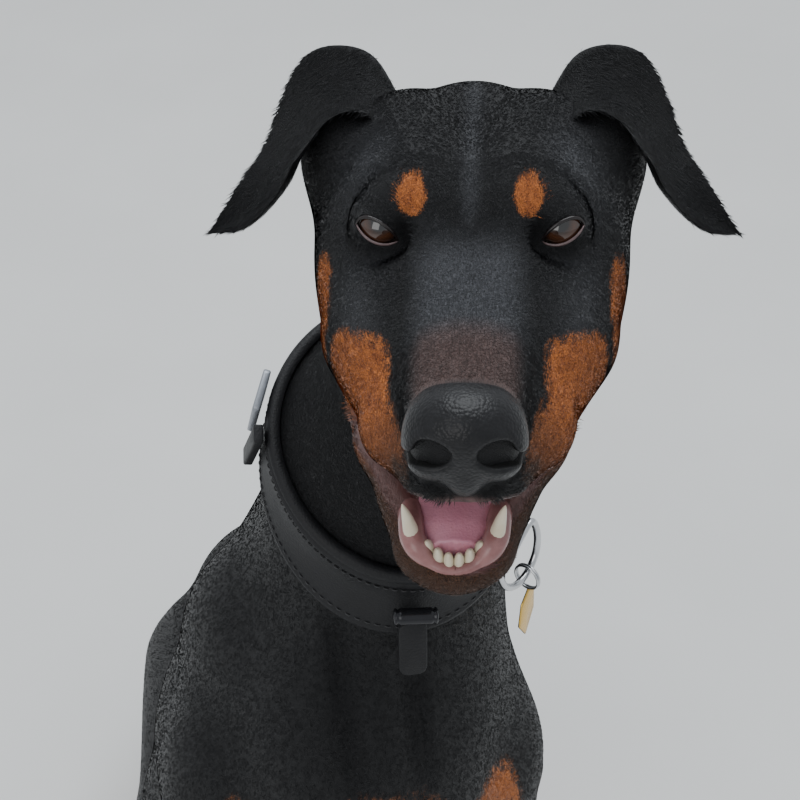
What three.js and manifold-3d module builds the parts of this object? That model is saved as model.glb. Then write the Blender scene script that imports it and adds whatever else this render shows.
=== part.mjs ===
// A sitting adult doberman, life size, looking up with its mouth open, wearing a wide collar with a tag.
// Millimetres. The dog faces -Y, its left side is +X and the floor is z = 0.
// The body is a field of distances to blended rounded masses. A grid is laid over the field,
// one vertex goes into each cell that the surface crosses, and the result is parted by thin cuts.
// Places on the body are written as [side, forward, up], side being positive to the dog's left.
import * as THREE from 'three';
import { mergeVertices } from 'three/addons/utils/BufferGeometryUtils.js';
import Module from 'manifold-3d';

const wasm = await Module();
wasm.setup();

// Driving dimensions
const CUT = 0.3;
const BODY_CELL = 25;
const LEG_CELL = 16;
const HINDLEG_CELL = 22;
const TAIL_CELL = 15;
const NECK_CELL = 20;
const HEAD_CELL = 9.5;

// The head's own frame: the origin lies between the pupils, and the head is turned from the body's heading
const HEAD_AT = [36, 250, 900];
const HEAD_TURN = 15.1;
const HEAD_RAISE = 11.4;
const HEAD_LEAN = 1.7;
const PUPIL_SIDE = 36;
const EYE_FORWARD = -5;
const EYE_RADIUS = 11.5;
const EAR_THICK = 4.6;

// The collar
const NECK_AT_COLLAR = [33, 132, 686];
const COLLAR_WIDTH = 40;
const COLLAR_THICK = 5;
const COLLAR_STEPS = 32;

// Materials, one for each finish
const finish = (color, roughness, metalness = 0) =>
  new THREE.MeshStandardMaterial({ color, roughness, metalness });
const BLACK_COAT = finish(0x17171a, 0.5);
const EAR_COAT = finish(0x1b1b1e, 0.6);
const JAW_COAT = finish(0x4a2a1a, 0.6);
const NOSE_SKIN = finish(0x232427, 0.45);
const EYE_GLOSS = finish(0x2a1710, 0.1);
const TONGUE_PINK = finish(0xb5717c, 0.4);
const COLLAR_LEATHER = finish(0x26282a, 0.6);
const BLACK_METAL = finish(0x1c1d20, 0.3, 0.8);
const SILVER = finish(0xb9bcc0, 0.3, 1);
const GREY_PLATE = finish(0x8f9398, 0.45, 0.6);
const BRASS = finish(0xc79a3a, 0.35, 1);

// Fields: a field is a function of side, forward and up that is negative inside
const clamp = (value, low, high) => Math.min(high, Math.max(low, value));
const mix = (a, b, t) => a + (b - a) * t;

// The lower of two distances, with a fillet of about the blend's size where they meet
function blend(a, b, size) {
  const near = Math.max(size - Math.abs(a - b), 0) / size;
  return Math.min(a, b) - near * near * size * 0.25;
}

// The higher of a distance and a cutting distance taken away, with a rounded rim
const carve = (a, b, size) => -blend(-a, b, size);

// An ellipsoid with its half sizes, tipped forward by an angle about the side axis
function mass([side, forward, up], [wide, long, tall], tipDegrees = 0, turnDegrees = 0) {
  const tip = THREE.MathUtils.degToRad(tipDegrees);
  const turn = THREE.MathUtils.degToRad(turnDegrees);
  const [ct, st, cy, sy] = [Math.cos(tip), Math.sin(tip), Math.cos(turn), Math.sin(turn)];
  return (s, f, u) => {
    const [ds, df, du] = [s - side, f - forward, u - up];
    const s1 = ds * cy - df * sy;
    const f1 = ds * sy + df * cy;
    const f2 = f1 * ct + du * st;
    const u2 = -f1 * st + du * ct;
    const k0 = Math.hypot(s1 / wide, f2 / long, u2 / tall);
    const k1 = Math.hypot(s1 / (wide * wide), f2 / (long * long), u2 / (tall * tall));
    return k1 < 1e-9 ? -Math.min(wide, long, tall) : (k0 * (k0 - 1)) / k1;
  };
}

// A straight tapered bar with round ends, flattened across its side by the squeeze
function bar([as, af, au], ra, [bs, bf, bu], rb, squeeze = 1) {
  const [ds, df, du] = [(bs - as) / squeeze, bf - af, bu - au];
  const length2 = ds * ds + df * df + du * du;
  const flat = Math.min(1, squeeze);
  return (s, f, u) => {
    const [ps, pf, pu] = [(s - as) / squeeze, f - af, u - au];
    const t = clamp((ps * ds + pf * df + pu * du) / length2, 0, 1);
    return (Math.hypot(ps - ds * t, pf - df * t, pu - du * t) - mix(ra, rb, t)) * flat;
  };
}

// A body lofted along the forward axis through stations of forward, lower edge, upper edge and half width,
// with sections whose corners fill out as the power rises over 2
function loft(stations, power) {
  return (s, f, u) => {
    const last = stations.length - 1;
    const g = clamp(f, stations[0][0], stations[last][0]);
    let i = 0;
    while (i < last - 1 && g > stations[i + 1][0]) i += 1;
    const [p0, p1, p2, p3] = [i - 1, i, i + 1, i + 2].map((j) => stations[clamp(j, 0, last)]);
    const t = (g - p1[0]) / (p2[0] - p1[0]);
    const value = (k) => {
      const m1 = ((p2[k] - p0[k]) / (p2[0] - p0[0])) * (p2[0] - p1[0]);
      const m2 = ((p3[k] - p1[k]) / (p3[0] - p1[0])) * (p2[0] - p1[0]);
      const [t2, t3] = [t * t, t * t * t];
      return (2 * t3 - 3 * t2 + 1) * p1[k] + (t3 - 2 * t2 + t) * m1 + (3 * t2 - 2 * t3) * p2[k] + (t3 - t2) * m2;
    };
    const [low, high, wide] = [value(1), value(2), value(3)];
    const tall = (high - low) / 2;
    const [a, b] = [Math.abs(s) / wide, Math.abs(u - (high + low) / 2) / tall];
    const k = (a ** power + b ** power) ** (1 / power);
    const across = (k - 1) * Math.min(wide, tall);
    const past = f - g;
    return past === 0 ? across : Math.hypot(Math.max(across, 0), past);
  };
}

// Joins a list of [field, blend size] in order
function join(parts) {
  return (s, f, u) => {
    let d = 1e9;
    for (const [field, size] of parts) d = blend(d, field(s, f, u), size);
    return d;
  };
}

// Both sides of a field made for the left side, softened where they meet
const MIDLINE = 3;
const paired = (field) => (s, f, u) => field(Math.hypot(s, MIDLINE), f, u);

// The head above the mouth
const upperHead = paired(join([
  [mass([27, -76, -10], [37, 54, 35]), 10],
  [mass([0, -112, -2], [27, 30, 26]), 20],
  [mass([20, -38, 3], [28, 44, 20]), 18],
  [mass([26, -9, 7], [15, 14, 11]), 14],
  [mass([44, -48, -26], [24, 46, 28], 8), 18],
  [mass([40, -20, -46], [23, 44, 24], 4), 20],
  [mass([33, 14, -38], [19, 38, 24], 4), 20],
  [loft([[-30, -50, 12, 42], [0, -62, 4, 37], [30, -66, -4, 33], [60, -69, -9, 29.5], [85, -68, -12, 26],
         [102, -66, -15, 22], [112, -61, -21, 16]], 2.3), 20],
  [bar([37, 10, -49], 19, [23, 68, -53], 16.5), 14],
  [bar([23, 68, -53], 16.5, [12, 99, -54], 12), 9],
  [mass([0, 107, -34], [21, 15, 18]), 5],
]));

// The lower jaw, hanging open
const lowerJaw = paired(join([
  [bar([38, -58, -56], 18, [27, 30, -80], 15), 10],
  [bar([27, 30, -80], 15, [12, 78, -100], 12.5), 12],
  [bar([0, -40, -66], 22, [0, 50, -94], 15), 16],
  [mass([0, 81, -103], [20, 17, 16], 10), 8],
]));

// The jaw hangs a little to the dog's right, more so toward the chin
const JAW_SWING = 4.5;
const swing = (forward) => JAW_SWING * clamp((forward + 20) / 80, 0, 1);

// The gap of the mouth: narrow at its corners and open to the front and sides
const mouthGap = loft([
  [22, -72, -66, 20],
  [40, -76, -66, 40],
  [60, -82, -66, 48],
  [90, -88, -63, 56],
  [140, -94, -58, 70],
], 2.4);
const jawTrough = mass([0, 82, -86], [15, 28, 17]);

// The hollows that the eyes lie in
const orbits = paired(mass([PUPIL_SIDE + 1, 8, 0], [15, 9, 10], 0, -35));

const wholeHead = (s, f, u) => {
  const swung = s + swing(f);
  const jaw = carve(lowerJaw(swung, f, u), jawTrough(swung, f, u), 3);
  const closed = blend(upperHead(s, f, u), jaw, f < 30 ? 16 : 6);
  return carve(carve(closed, mouthGap(s, f, u), 3), orbits(s, f, u), 8);
};

// The head's place on the body
const headPlace = new THREE.Matrix4().makeRotationFromEuler(new THREE.Euler(
  THREE.MathUtils.degToRad(-HEAD_RAISE),
  THREE.MathUtils.degToRad(-HEAD_LEAN),
  THREE.MathUtils.degToRad(-HEAD_TURN),
  'ZXY',
)).setPosition(HEAD_AT[0], -HEAD_AT[1], HEAD_AT[2]);
const headInverse = headPlace.clone().invert();

function toHead(s, f, u) {
  const e = headInverse.elements;
  const y = -f;
  return [
    e[0] * s + e[4] * y + e[8] * u + e[12],
    -(e[1] * s + e[5] * y + e[9] * u + e[13]),
    e[2] * s + e[6] * y + e[10] * u + e[14],
  ];
}

function fromHead([side, forward, up]) {
  const v = new THREE.Vector3(side, -forward, up).applyMatrix4(headPlace);
  return [v.x, -v.y, v.z];
}

// Torso of the sitting dog, its back sloping down to the hips
const torso = paired(join([
  [mass([0, 114, 474], [88, 118, 120], 62), 20],
  [mass([0, 30, 395], [94, 146, 108], 58), 40],
  [mass([0, -90, 305], [80, 130, 80], 52), 45],
  [mass([0, -195, 205], [82, 95, 92], 40), 45],
  [mass([0, -226, 90], [64, 58, 94]), 35],
  [mass([0, 188, 470], [66, 58, 92], 10), 40],
  [mass([0, 56, 570], [26, 60, 50], 40), 30],
  [mass([62, 92, 485], [34, 56, 92], -18), 26],
  [mass([80, 150, 440], [40, 50, 66], 10), 28],
  [mass([88, 98, 400], [34, 56, 74], 8), 28],
]));

// Neck from the withers and chest up to the back of the skull
const NECK_TOP = fromHead([0, -84, -36]);
const THROAT_TOP = fromHead([0, -52, -52]);
const [neckSide, neckForward, neckUp] = NECK_AT_COLLAR;
const neck = join([
  [bar([14, 88, 555], 64, NECK_AT_COLLAR, 58), 36],
  [bar([16, 138, 520], 76, NECK_AT_COLLAR, 59), 36],
  [bar(NECK_AT_COLLAR, 58, NECK_TOP, 36), 26],
  [bar([neckSide + 4, neckForward + 22, neckUp - 8], 46, THROAT_TOP, 36), 26],
]);

// A foreleg, upright under the shoulder, with its paw on the floor
function foreleg(sideways) {
  const paw = [sideways * 74, 196, 22];
  const parts = [
    [bar([sideways * 92, 112, 372], 42, [sideways * 84, 132, 300], 34), 20],
    [bar([sideways * 84, 134, 320], 37, [sideways * 74, 152, 205], 25), 24],
    [bar([sideways * 74, 152, 205], 25, [sideways * 70, 164, 122], 20.5), 20],
    [mass([sideways * 70, 166, 112], [22, 21, 24]), 16],
    [bar([sideways * 70, 166, 108], 20, [sideways * 72, 180, 42], 19), 16],
    [mass([paw[0], paw[1] - 8, 20], [31, 40, 24], 6), 16],
  ];
  for (let toe = 0; toe < 4; toe += 1) {
    const spread = (toe - 1.5) * 16;
    const reach = paw[1] + (toe === 1 || toe === 2 ? 26 : 12);
    parts.push([mass([paw[0] + spread, reach, 14], [9.5, 19, 15], 12), 7]);
  }
  return join(parts);
}

// A folded hind leg: thigh, knee, shank, hock and the long foot on the floor
function hindleg(sideways) {
  const parts = [
    [mass([sideways * 80, -120, 182], [36, 114, 84], 8), 30],
    [bar([sideways * 76, -175, 192], 43, [sideways * 108, 0, 198], 39), 30],
    [mass([sideways * 114, 14, 200], [31, 38, 44]), 24],
    [bar([sideways * 114, 6, 186], 36, [sideways * 116, -128, 78], 24), 24],
    [bar([sideways * 120, -128, 76], 22, [sideways * 120, -165, 48], 20), 14],
    [bar([sideways * 120, -165, 34], 22, [sideways * 122, 20, 24], 22), 16],
    [mass([sideways * 124, 52, 20], [31, 42, 24], 4), 16],
  ];
  for (let toe = 0; toe < 4; toe += 1) {
    const spread = (toe - 1.5) * 16;
    const reach = toe === 1 || toe === 2 ? 86 : 72;
    parts.push([mass([sideways * 124 + spread, reach, 14], [9.5, 19, 15], 12), 7]);
  }
  return join(parts);
}

// The tail, laid in a curve on the floor behind the dog
const TAIL_START = [0, -262, 82];
const TAIL_REACH = 330;
const TAIL_SWING = 120;
const TAIL_STEPS = 10;
const tailRadius = (t) => mix(27, 8.5, t ** 0.55);
const tailPoint = (t) => [
  TAIL_SWING * t * t,
  TAIL_START[1] - TAIL_REACH * t * (1 - 0.12 * t),
  Math.max(tailRadius(t) - 1, mix(TAIL_START[2], 0, Math.min(1, t * 2.8) ** 0.8)),
];
const tail = join(Array.from({ length: TAIL_STEPS }, (_, i) => {
  const [a, b] = [i / TAIL_STEPS, (i + 1) / TAIL_STEPS];
  return [bar(tailPoint(a), tailRadius(a), tailPoint(b), tailRadius(b)), 8];
}));

const legs = [foreleg(1), foreleg(-1), hindleg(1), hindleg(-1)];

const neckAndChest = (s, f, u) => blend(torso(s, f, u), neck(s, f, u), 34);

function dog(s, f, u) {
  let d = neckAndChest(s, f, u);
  for (const leg of legs) d = blend(d, leg(s, f, u), 24);
  d = blend(d, tail(s, f, u), 20);
  const [hs, hf, hu] = toHead(s, f, u);
  d = blend(d, wholeHead(hs, hf, hu), 26);
  return d;
}

// Meshing: the field is sampled at the corners of cubic cells
const inBox = (low, high) => (p) => Math.max(...p.map((v, i) => Math.max(low[i] - v, v - high[i])));

// A cell's corners, its 12 edges as pairs of corners, and its 6 faces as loops of 4 corners
const CORNERS = Array.from({ length: 8 }, (_, c) => [c & 1, (c >> 1) & 1, c >> 2]);
const EDGES = [0, 1, 2].flatMap((axis) => CORNERS.map((_, c) => c)
  .filter((c) => !(c & (1 << axis)))
  .map((c) => [c, c | (1 << axis)]));
const FACES = [0, 1, 2].flatMap((axis) => [0, 1].map((end) => {
  const [p, q] = [1 << ((axis + 1) % 3), 1 << ((axis + 2) % 3)];
  const base = end << axis;
  return [base, base | p, base | p | q, base | q];
}));
const edgeNumber = (a, b) => EDGES.findIndex(([c, d]) => (a === c && b === d) || (a === d && b === c));
const FACE_EDGES = FACES.map((loop) => loop.map((c, n) => edgeNumber(c, loop[(n + 1) % 4])));

// Groups a cell's crossed edges into sheets: two edges of a face belong together when the surface
// joins them across it, and where all four are crossed, the two on either side of an inner corner do
function sheetsOf(inside) {
  const sheet = EDGES.map(([a, b], n) => (inside[a] === inside[b] ? -1 : n));
  const unite = (a, b) => {
    const [from, to] = [sheet[a], sheet[b]];
    for (let n = 0; n < sheet.length; n += 1) if (sheet[n] === from) sheet[n] = to;
  };
  FACES.forEach((loop, face) => {
    const crossed = FACE_EDGES[face].filter((edge) => sheet[edge] >= 0);
    if (crossed.length === 2) unite(crossed[0], crossed[1]);
    if (crossed.length < 4) return;
    loop.forEach((c, n) => {
      if (inside[c]) unite(FACE_EDGES[face][n], FACE_EDGES[face][(n + 3) % 4]);
    });
  });
  return sheet;
}

// Gives positions and triangles of the field's surface inside a box of side, forward and up:
// one vertex for each sheet of the surface in a cell
function polygonise(field, low, high, cell) {
  const count = low.map((v, i) => Math.ceil((high[i] - v) / cell) + 3);
  const [nx, ny, nz] = count;
  const bound = inBox(low, high);
  const clipped = (s, f, u) => Math.max(field(s, f, u), bound([s, f, u]));
  const at = (i, j, k) => [low[0] + (i - 1) * cell, low[1] + (j - 1) * cell, low[2] + (k - 1) * cell];
  const index = (i, j, k) => (k * ny + j) * nx + i;
  const values = new Float64Array(nx * ny * nz);
  for (let k = 0; k < nz; k += 1) {
    for (let j = 0; j < ny; j += 1) {
      for (let i = 0; i < nx; i += 1) values[index(i, j, k)] = clipped(...at(i, j, k));
    }
  }
  const vertexOf = new Map();
  const positions = [];
  for (let k = 0; k < nz - 1; k += 1) {
    for (let j = 0; j < ny - 1; j += 1) {
      for (let i = 0; i < nx - 1; i += 1) {
        const v = CORNERS.map(([a, b, c]) => values[index(i + a, j + b, k + c)]);
        const inside = v.map((value) => value < 0);
        if (inside.every((one) => one === inside[0])) continue;
        const sheet = sheetsOf(inside);
        for (const group of new Set(sheet.filter((n) => n >= 0))) {
          const sum = [0, 0, 0];
          const members = EDGES.map((_, n) => n).filter((n) => sheet[n] === group);
          for (const n of members) {
            const [a, b] = EDGES[n];
            const t = v[a] / (v[a] - v[b]);
            for (let axis = 0; axis < 3; axis += 1) sum[axis] += mix(CORNERS[a][axis], CORNERS[b][axis], t);
            vertexOf.set(index(i, j, k) * 12 + n, positions.length);
          }
          const start = at(i, j, k).map((base, axis) => base + (sum[axis] / members.length) * cell);
          positions.push(settle(clipped, start, cell));
        }
      }
    }
  }
  return { positions, triangles: weave(values, vertexOf, positions, count, index) };
}

// Moves a vertex on to the surface, by at most part of a cell
function settle(field, start, cell) {
  const step = cell * 0.05;
  const point = [...start];
  for (let round = 0; round < 3; round += 1) {
    const d = field(...point);
    const slope = point.map((_, axis) => {
      const ahead = [...point];
      ahead[axis] += step;
      return (field(...ahead) - d) / step;
    });
    const steep = Math.max(slope[0] ** 2 + slope[1] ** 2 + slope[2] ** 2, 0.2);
    for (let axis = 0; axis < 3; axis += 1) {
      const moved = point[axis] - (d * slope[axis]) / steep;
      point[axis] = clamp(moved, start[axis] - cell * 0.45, start[axis] + cell * 0.45);
    }
  }
  return point;
}

// Two triangles for each grid edge that the surface crosses, split along the shorter diagonal
function weave(values, vertexOf, positions, [nx, ny, nz], index) {
  const triangles = [];
  const away = (a, b) => Math.hypot(...positions[a].map((v, i) => v - positions[b][i]));
  const unit = [[1, 0, 0], [0, 1, 0], [0, 0, 1]];
  const around = [[0, 0], [1, 0], [1, 1], [0, 1]];
  for (let k = 1; k < nz - 1; k += 1) {
    for (let j = 1; j < ny - 1; j += 1) {
      for (let i = 1; i < nx - 1; i += 1) {
        const here = values[index(i, j, k)] < 0;
        unit.forEach(([a, b, c], axis) => {
          if (here === values[index(i + a, j + b, k + c)] < 0) return;
          const [pAxis, qAxis] = [(axis + 1) % 3, (axis + 2) % 3];
          const [p, q] = [unit[pAxis], unit[qAxis]];
          const ring = around.map(([m, n]) => {
            const from = (m << pAxis) | (n << qAxis);
            const owner = index(i - m * p[0] - n * q[0], j - m * p[1] - n * q[1], k - m * p[2] - n * q[2]);
            return vertexOf.get(owner * 12 + edgeNumber(from, from | (1 << axis)));
          });
          if (here) ring.reverse();
          if (away(ring[0], ring[2]) < away(ring[1], ring[3])) {
            triangles.push([ring[0], ring[1], ring[2]], [ring[0], ring[2], ring[3]]);
          } else {
            triangles.push([ring[1], ring[2], ring[3]], [ring[1], ring[3], ring[0]]);
          }
        });
      }
    }
  }
  return triangles;
}

// Solids: closed meshes that can be joined and cut
function solidOf(geometry) {
  const bare = geometry.clone();
  bare.deleteAttribute('normal');
  bare.deleteAttribute('uv');
  const merged = mergeVertices(bare, 1e-4);
  const numProp = 3;
  const vertProperties = new Float32Array(merged.attributes.position.array);
  const triVerts = new Uint32Array(merged.index.array);
  return new wasm.Manifold(new wasm.Mesh({ numProp, vertProperties, triVerts }));
}

// A solid of a field; the mesh's y runs backward, so each triangle is turned round
function fieldSolid(field, low, high, cell) {
  const { positions, triangles } = polygonise(field, low, high, cell);
  const geometry = new THREE.BufferGeometry();
  const points = positions.flatMap(([s, f, u]) => [s, -f, u]);
  geometry.setAttribute('position', new THREE.Float32BufferAttribute(points, 3));
  geometry.setIndex(triangles.flat());
  return solidOf(geometry);
}

const boxSolid = (low, high) => solidOf(new THREE.BoxGeometry(1, 1, 1)
  .translate(0.5, 0.5, 0.5)
  .scale(high[0] - low[0], high[1] - low[1], high[2] - low[2])
  .translate(low[0], -high[1], low[2]));

// Only the largest closed surface of a solid
function largest(solid) {
  const pieces = solid.decompose().sort((a, b) => b.volume() - a.volume());
  return pieces[0];
}

const model = new THREE.Group();
model.name = 'doberman';
const head = new THREE.Group();
head.applyMatrix4(headPlace);
model.add(head);

function addSolid(group, name, solid, material) {
  const { vertProperties, triVerts } = largest(solid).getMesh();
  const geometry = new THREE.BufferGeometry();
  geometry.setAttribute('position', new THREE.BufferAttribute(vertProperties, 3));
  geometry.setIndex(new THREE.BufferAttribute(triVerts, 1));
  geometry.computeVertexNormals();
  const mesh = new THREE.Mesh(geometry, material);
  mesh.name = name;
  group.add(mesh);
}

// A solid on the kept side of a plane through a point, its normal lying in the forward and up directions
function halfSpace([side, forward, up], tiltDegrees, gap = 0) {
  const big = 1500;
  return solidOf(new THREE.BoxGeometry(big, big, big)
    .translate(0, 0, big / 2 + gap)
    .rotateX(THREE.MathUtils.degToRad(tiltDegrees))
    .translate(side, -forward, up));
}

// Where the body is parted
const NAPE = [0, -88, -30];
const NAPE_TILT = 55;
const NECK_BASE = [0, 120, 622];
const NECK_BASE_TILT = 31;
const FORELEG_BOX = [[14, 64, -10], [170, 260, 326]];
const THIGH_BOX = [[66, -340, -10], [210, 64, 296]];
const HIND_PAW_BOX = [[66, 0, -10], [210, 142, 74]];
const TAIL_BOX = [[-90, -800, -10], [260, -266, 170]];

// A box with its low and high corners given for the left side, mirrored for the right, grown on every side
function sideBox([low, high], sideways, grow) {
  const [inner, outer] = [low[0] * sideways, high[0] * sideways].sort((a, b) => a - b);
  return boxSolid([inner - grow, low[1] - grow, low[2] - grow], [outer + grow, high[1] + grow, high[2] + grow]);
}

const placed = (solid, matrix) => solid.transform(matrix.elements);
const gapHalf = CUT / 2;

// Upper head and lower jaw meet at the corner of the mouth, along the mouth's line and a cut down to the throat
const MOUTH_CORNER = [0, 16, -69];
const MOUTH_LINE_TILT = 184;
const THROAT_CUT_TILT = 142;
const dogInHead = (s, f, u) => dog(...fromHead([s, f, u]));
const headWhole = fieldSolid(dogInHead, [-92, -165, -145], [92, 135, 62], HEAD_CELL)
  .intersect(halfSpace(NAPE, NAPE_TILT, gapHalf));
const jawSpace = (gap) => halfSpace(MOUTH_CORNER, MOUTH_LINE_TILT, gap)
  .intersect(halfSpace(MOUTH_CORNER, THROAT_CUT_TILT, gap));

// The nose leather is a block of its own with comma shaped nostrils, set on the front of the muzzle
const NOSE_BACK = 100;
const NOSE_CELL = 4.8;
const noseField = paired(join([
  [mass([0, 105, -34], [22.5, 16, 19.5]), 5],
  [mass([13, 108, -38], [10, 12, 12]), 4],
]));
const nostrils = paired(join([
  [mass([11.5, 121, -37], [5.5, 8, 5.5]), 2],
  [bar([14, 119, -38], 2.6, [22, 106, -43], 2), 2],
]));
const openNose = (...at) => carve(noseField(...at), nostrils(...at), 1.5);
const nose = fieldSolid(openNose, [-26, 90, -60], [26, 126, -10], NOSE_CELL)
  .intersect(halfSpace([0, NOSE_BACK, 0], 90, gapHalf));
const noseRoom = boxSolid([-40, NOSE_BACK - gapHalf, -56], [40, 160, 10]);

// A closed skin over rings of points, each ring and both ends closed by fans
function ringSolid(rings) {
  const size = rings[0].length;
  const middle = (ring) => ring.reduce((sum, p) => sum.clone().add(p), new THREE.Vector3()).divideScalar(size);
  const points = [...rings.flat(), middle(rings[0]), middle(rings[rings.length - 1])];
  const [first, last] = [points.length - 2, points.length - 1];
  const faces = [];
  for (let i = 0; i < size; i += 1) {
    const j = (i + 1) % size;
    for (let r = 0; r < rings.length - 1; r += 1) {
      const [a, b] = [r * size, (r + 1) * size];
      faces.push(a + i, a + j, b + i, a + j, b + j, b + i);
    }
    const end = (rings.length - 1) * size;
    faces.push(first, j, i, last, end + i, end + j);
  }
  const geometry = new THREE.BufferGeometry().setFromPoints(points);
  geometry.setIndex(faces);
  const solid = solidOf(geometry);
  if (solid.volume() > 0) return solid;
  const turned = [];
  for (let n = 0; n < faces.length; n += 3) turned.push(faces[n], faces[n + 2], faces[n + 1]);
  geometry.setIndex(turned);
  return solidOf(geometry);
}

const point = ([side, forward, up]) => new THREE.Vector3(side, -forward, up);
const curveThrough = (places) => new THREE.CatmullRomCurve3(places.map(point), false, 'centripetal');

// A round roll of varying radius along a curve
function roll(places, radiusAt, sides = 6, steps = 8, closed = false) {
  const curve = new THREE.CatmullRomCurve3(places.map(point), closed, 'centripetal');
  const frames = curve.computeFrenetFrames(steps, closed);
  const rings = frames.tangents.map((_, i) => Array.from({ length: sides }, (__, n) => {
    const angle = (2 * Math.PI * n) / sides;
    const radius = radiusAt(i / steps);
    return curve.getPointAt(i / steps)
      .addScaledVector(frames.normals[i], Math.cos(angle) * radius)
      .addScaledVector(frames.binormals[i], Math.sin(angle) * radius);
  }));
  return ringSolid(rings);
}

// An eyeball and its two lids. The lids run along an almond on a slightly larger ball, whose
// frame is turned outward: across from the inner to the outer corner, up, and out of the head.
const EYE_AT = [PUPIL_SIDE, EYE_FORWARD, 0];
const EYE_TURN = THREE.MathUtils.degToRad(35);
const LID = { ball: 12.6, halfWidth: 11, rise: 7.4, fall: 6, slant: 0.26, thick: 2.2, steps: 6 };
function lid(sideways, upper) {
  const places = Array.from({ length: LID.steps + 1 }, (_, n) => {
    const across = (n / LID.steps) * 2 - 1;
    const x = across * LID.halfWidth;
    const y = (upper ? LID.rise : -LID.fall) * (1 - across * across) + LID.slant * x;
    const z = Math.sqrt(Math.max(9, LID.ball ** 2 - x * x - y * y));
    const side = EYE_AT[0] + x * Math.cos(EYE_TURN) + z * Math.sin(EYE_TURN);
    const forward = EYE_AT[1] - x * Math.sin(EYE_TURN) + z * Math.cos(EYE_TURN);
    return [sideways * side, forward, EYE_AT[2] + y];
  });
  return roll(places, () => LID.thick);
}
const eyeBall = (sideways, radius) => solidOf(new THREE.SphereGeometry(radius, 12, 8)
  .rotateX(Math.PI / 2)
  .translate(sideways * EYE_AT[0], -EYE_AT[1], EYE_AT[2]));

// An ear: a short rise from the skull, a fold, and a flap that hangs out to the side like a leaf.
// Each edge is a curve from root to tip, and the leaf between them is arched, hollow underneath.
const EAR_FRONT = [
  [44, -68, 22], [57, -64, 29], [67, -59, 21], [75, -47, 11],
  [82, -40, 1], [99, -49, -21], [113, -55, -26],
];
const EAR_BACK = [
  [46, -104, 30], [58, -103, 42], [71, -97, 42], [84, -92, 24],
  [93, -81, 3], [104, -68, -11], [116, -57, -23],
];
const EAR_ARCH = 8;
const EAR_SIDES = 10;
const EAR_STEPS = 10;
function ear(sideways) {
  const mirrored = (places) => curveThrough(places.map(([s, f, u]) => [s * sideways, f, u]));
  const [front, back] = [mirrored(EAR_FRONT), mirrored(EAR_BACK)];
  const rings = Array.from({ length: EAR_STEPS + 1 }, (_, r) => {
    const v = r / EAR_STEPS;
    const [a, b] = [front.getPoint(v), back.getPoint(v)];
    const along = front.getTangent(v).add(back.getTangent(v)).normalize();
    const across = b.clone().sub(a);
    const out = new THREE.Vector3().crossVectors(along, across).multiplyScalar(-sideways).normalize();
    const arch = EAR_ARCH * Math.sin(Math.PI * Math.min(1, v * 0.8 + 0.12));
    return Array.from({ length: EAR_SIDES }, (__, n) => {
      const angle = (2 * Math.PI * n) / EAR_SIDES;
      const u = 0.5 - 0.5 * Math.cos(angle);
      const rise = 4 * u * (1 - u) * arch + (EAR_THICK / 2) * Math.sin(angle);
      return a.clone().addScaledVector(across, u).addScaledVector(out, rise);
    });
  });
  return ringSolid(rings);
}
const EAR_ROOT = [50, -84, 30];
const EAR_ROOT_TILT = 28;
const earSpace = (sideways, gap) => solidOf(new THREE.BoxGeometry(400, 120, 400)
  .translate((200 + gap) * sideways, 0, 0)
  .rotateY(THREE.MathUtils.degToRad(-EAR_ROOT_TILT * sideways))
  .translate(EAR_ROOT[0] * sideways, -EAR_ROOT[1], EAR_ROOT[2]));


// Teeth of the lower jaw: a canine on each side and six incisors between them, varied a little
const TOOTH_STEPS = 4;
function tooth([side, forward, up], height, thick, leanForward, leanSide) {
  const places = [0, 0.4, 0.75, 1].map((t) => [
    side + leanSide * t,
    forward + leanForward * t * t,
    up - 5 + (height + 5) * t,
  ]);
  return roll(places, (t) => thick * (1 - 0.85 * t ** 1.6), 6, TOOTH_STEPS);
}
const GUM_UP = -94;
const CANINE = { side: 15, forward: 89, tall: 22, thick: 4.4 };
const INCISORS = 6;
const INCISOR_FORWARD = 93;
function lowerTeeth() {
  let teeth = null;
  const add = (one) => { teeth = teeth ? teeth.add(one) : one; };
  for (const sideways of [-1, 1]) {
    const base = [sideways * CANINE.side - swing(CANINE.forward), CANINE.forward, GUM_UP];
    add(tooth(base, CANINE.tall, CANINE.thick, 1, sideways * 4));
  }
  for (let n = 0; n < INCISORS; n += 1) {
    const across = (n - (INCISORS - 1) / 2) / ((INCISORS - 1) / 2);
    const outer = across * across;
    const base = [across * 10 - swing(INCISOR_FORWARD), INCISOR_FORWARD - 3 * outer, GUM_UP - 7 + 2 * outer];
    add(tooth(base, 6.5 + 1.5 * outer, 2.1 + 0.5 * outer, 1, across));
  }
  return teeth;
}

// The tongue lies along the jaw, with a groove down its middle
const tongueSlab = loft([
  [8, -86, -74, 14],
  [30, -90, -76, 19],
  [60, -96, -80, 19],
  [80, -100, -86, 15],
  [89, -99, -91, 9],
], 2.2);
const tongueGroove = mass([0, 60, -77], [2.5, 60, 4]);
const tongueField = (s, f, u) => {
  const swung = s + swing(f);
  return carve(tongueSlab(swung, f, u), tongueGroove(swung, f, u), 3);
};
const TONGUE_CELL = 7;
const tongue = fieldSolid(tongueField, [-26, 4, -104], [26, 100, -70], TONGUE_CELL);
const TONGUE_MIDDLE = [-swing(50), -50, -86];
const TONGUE_ROOM = [1.03, 1.015, 1.08];
const tongueRoom = tongue
  .translate(TONGUE_MIDDLE.map((v) => -v))
  .scale(TONGUE_ROOM)
  .translate(TONGUE_MIDDLE);

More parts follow.
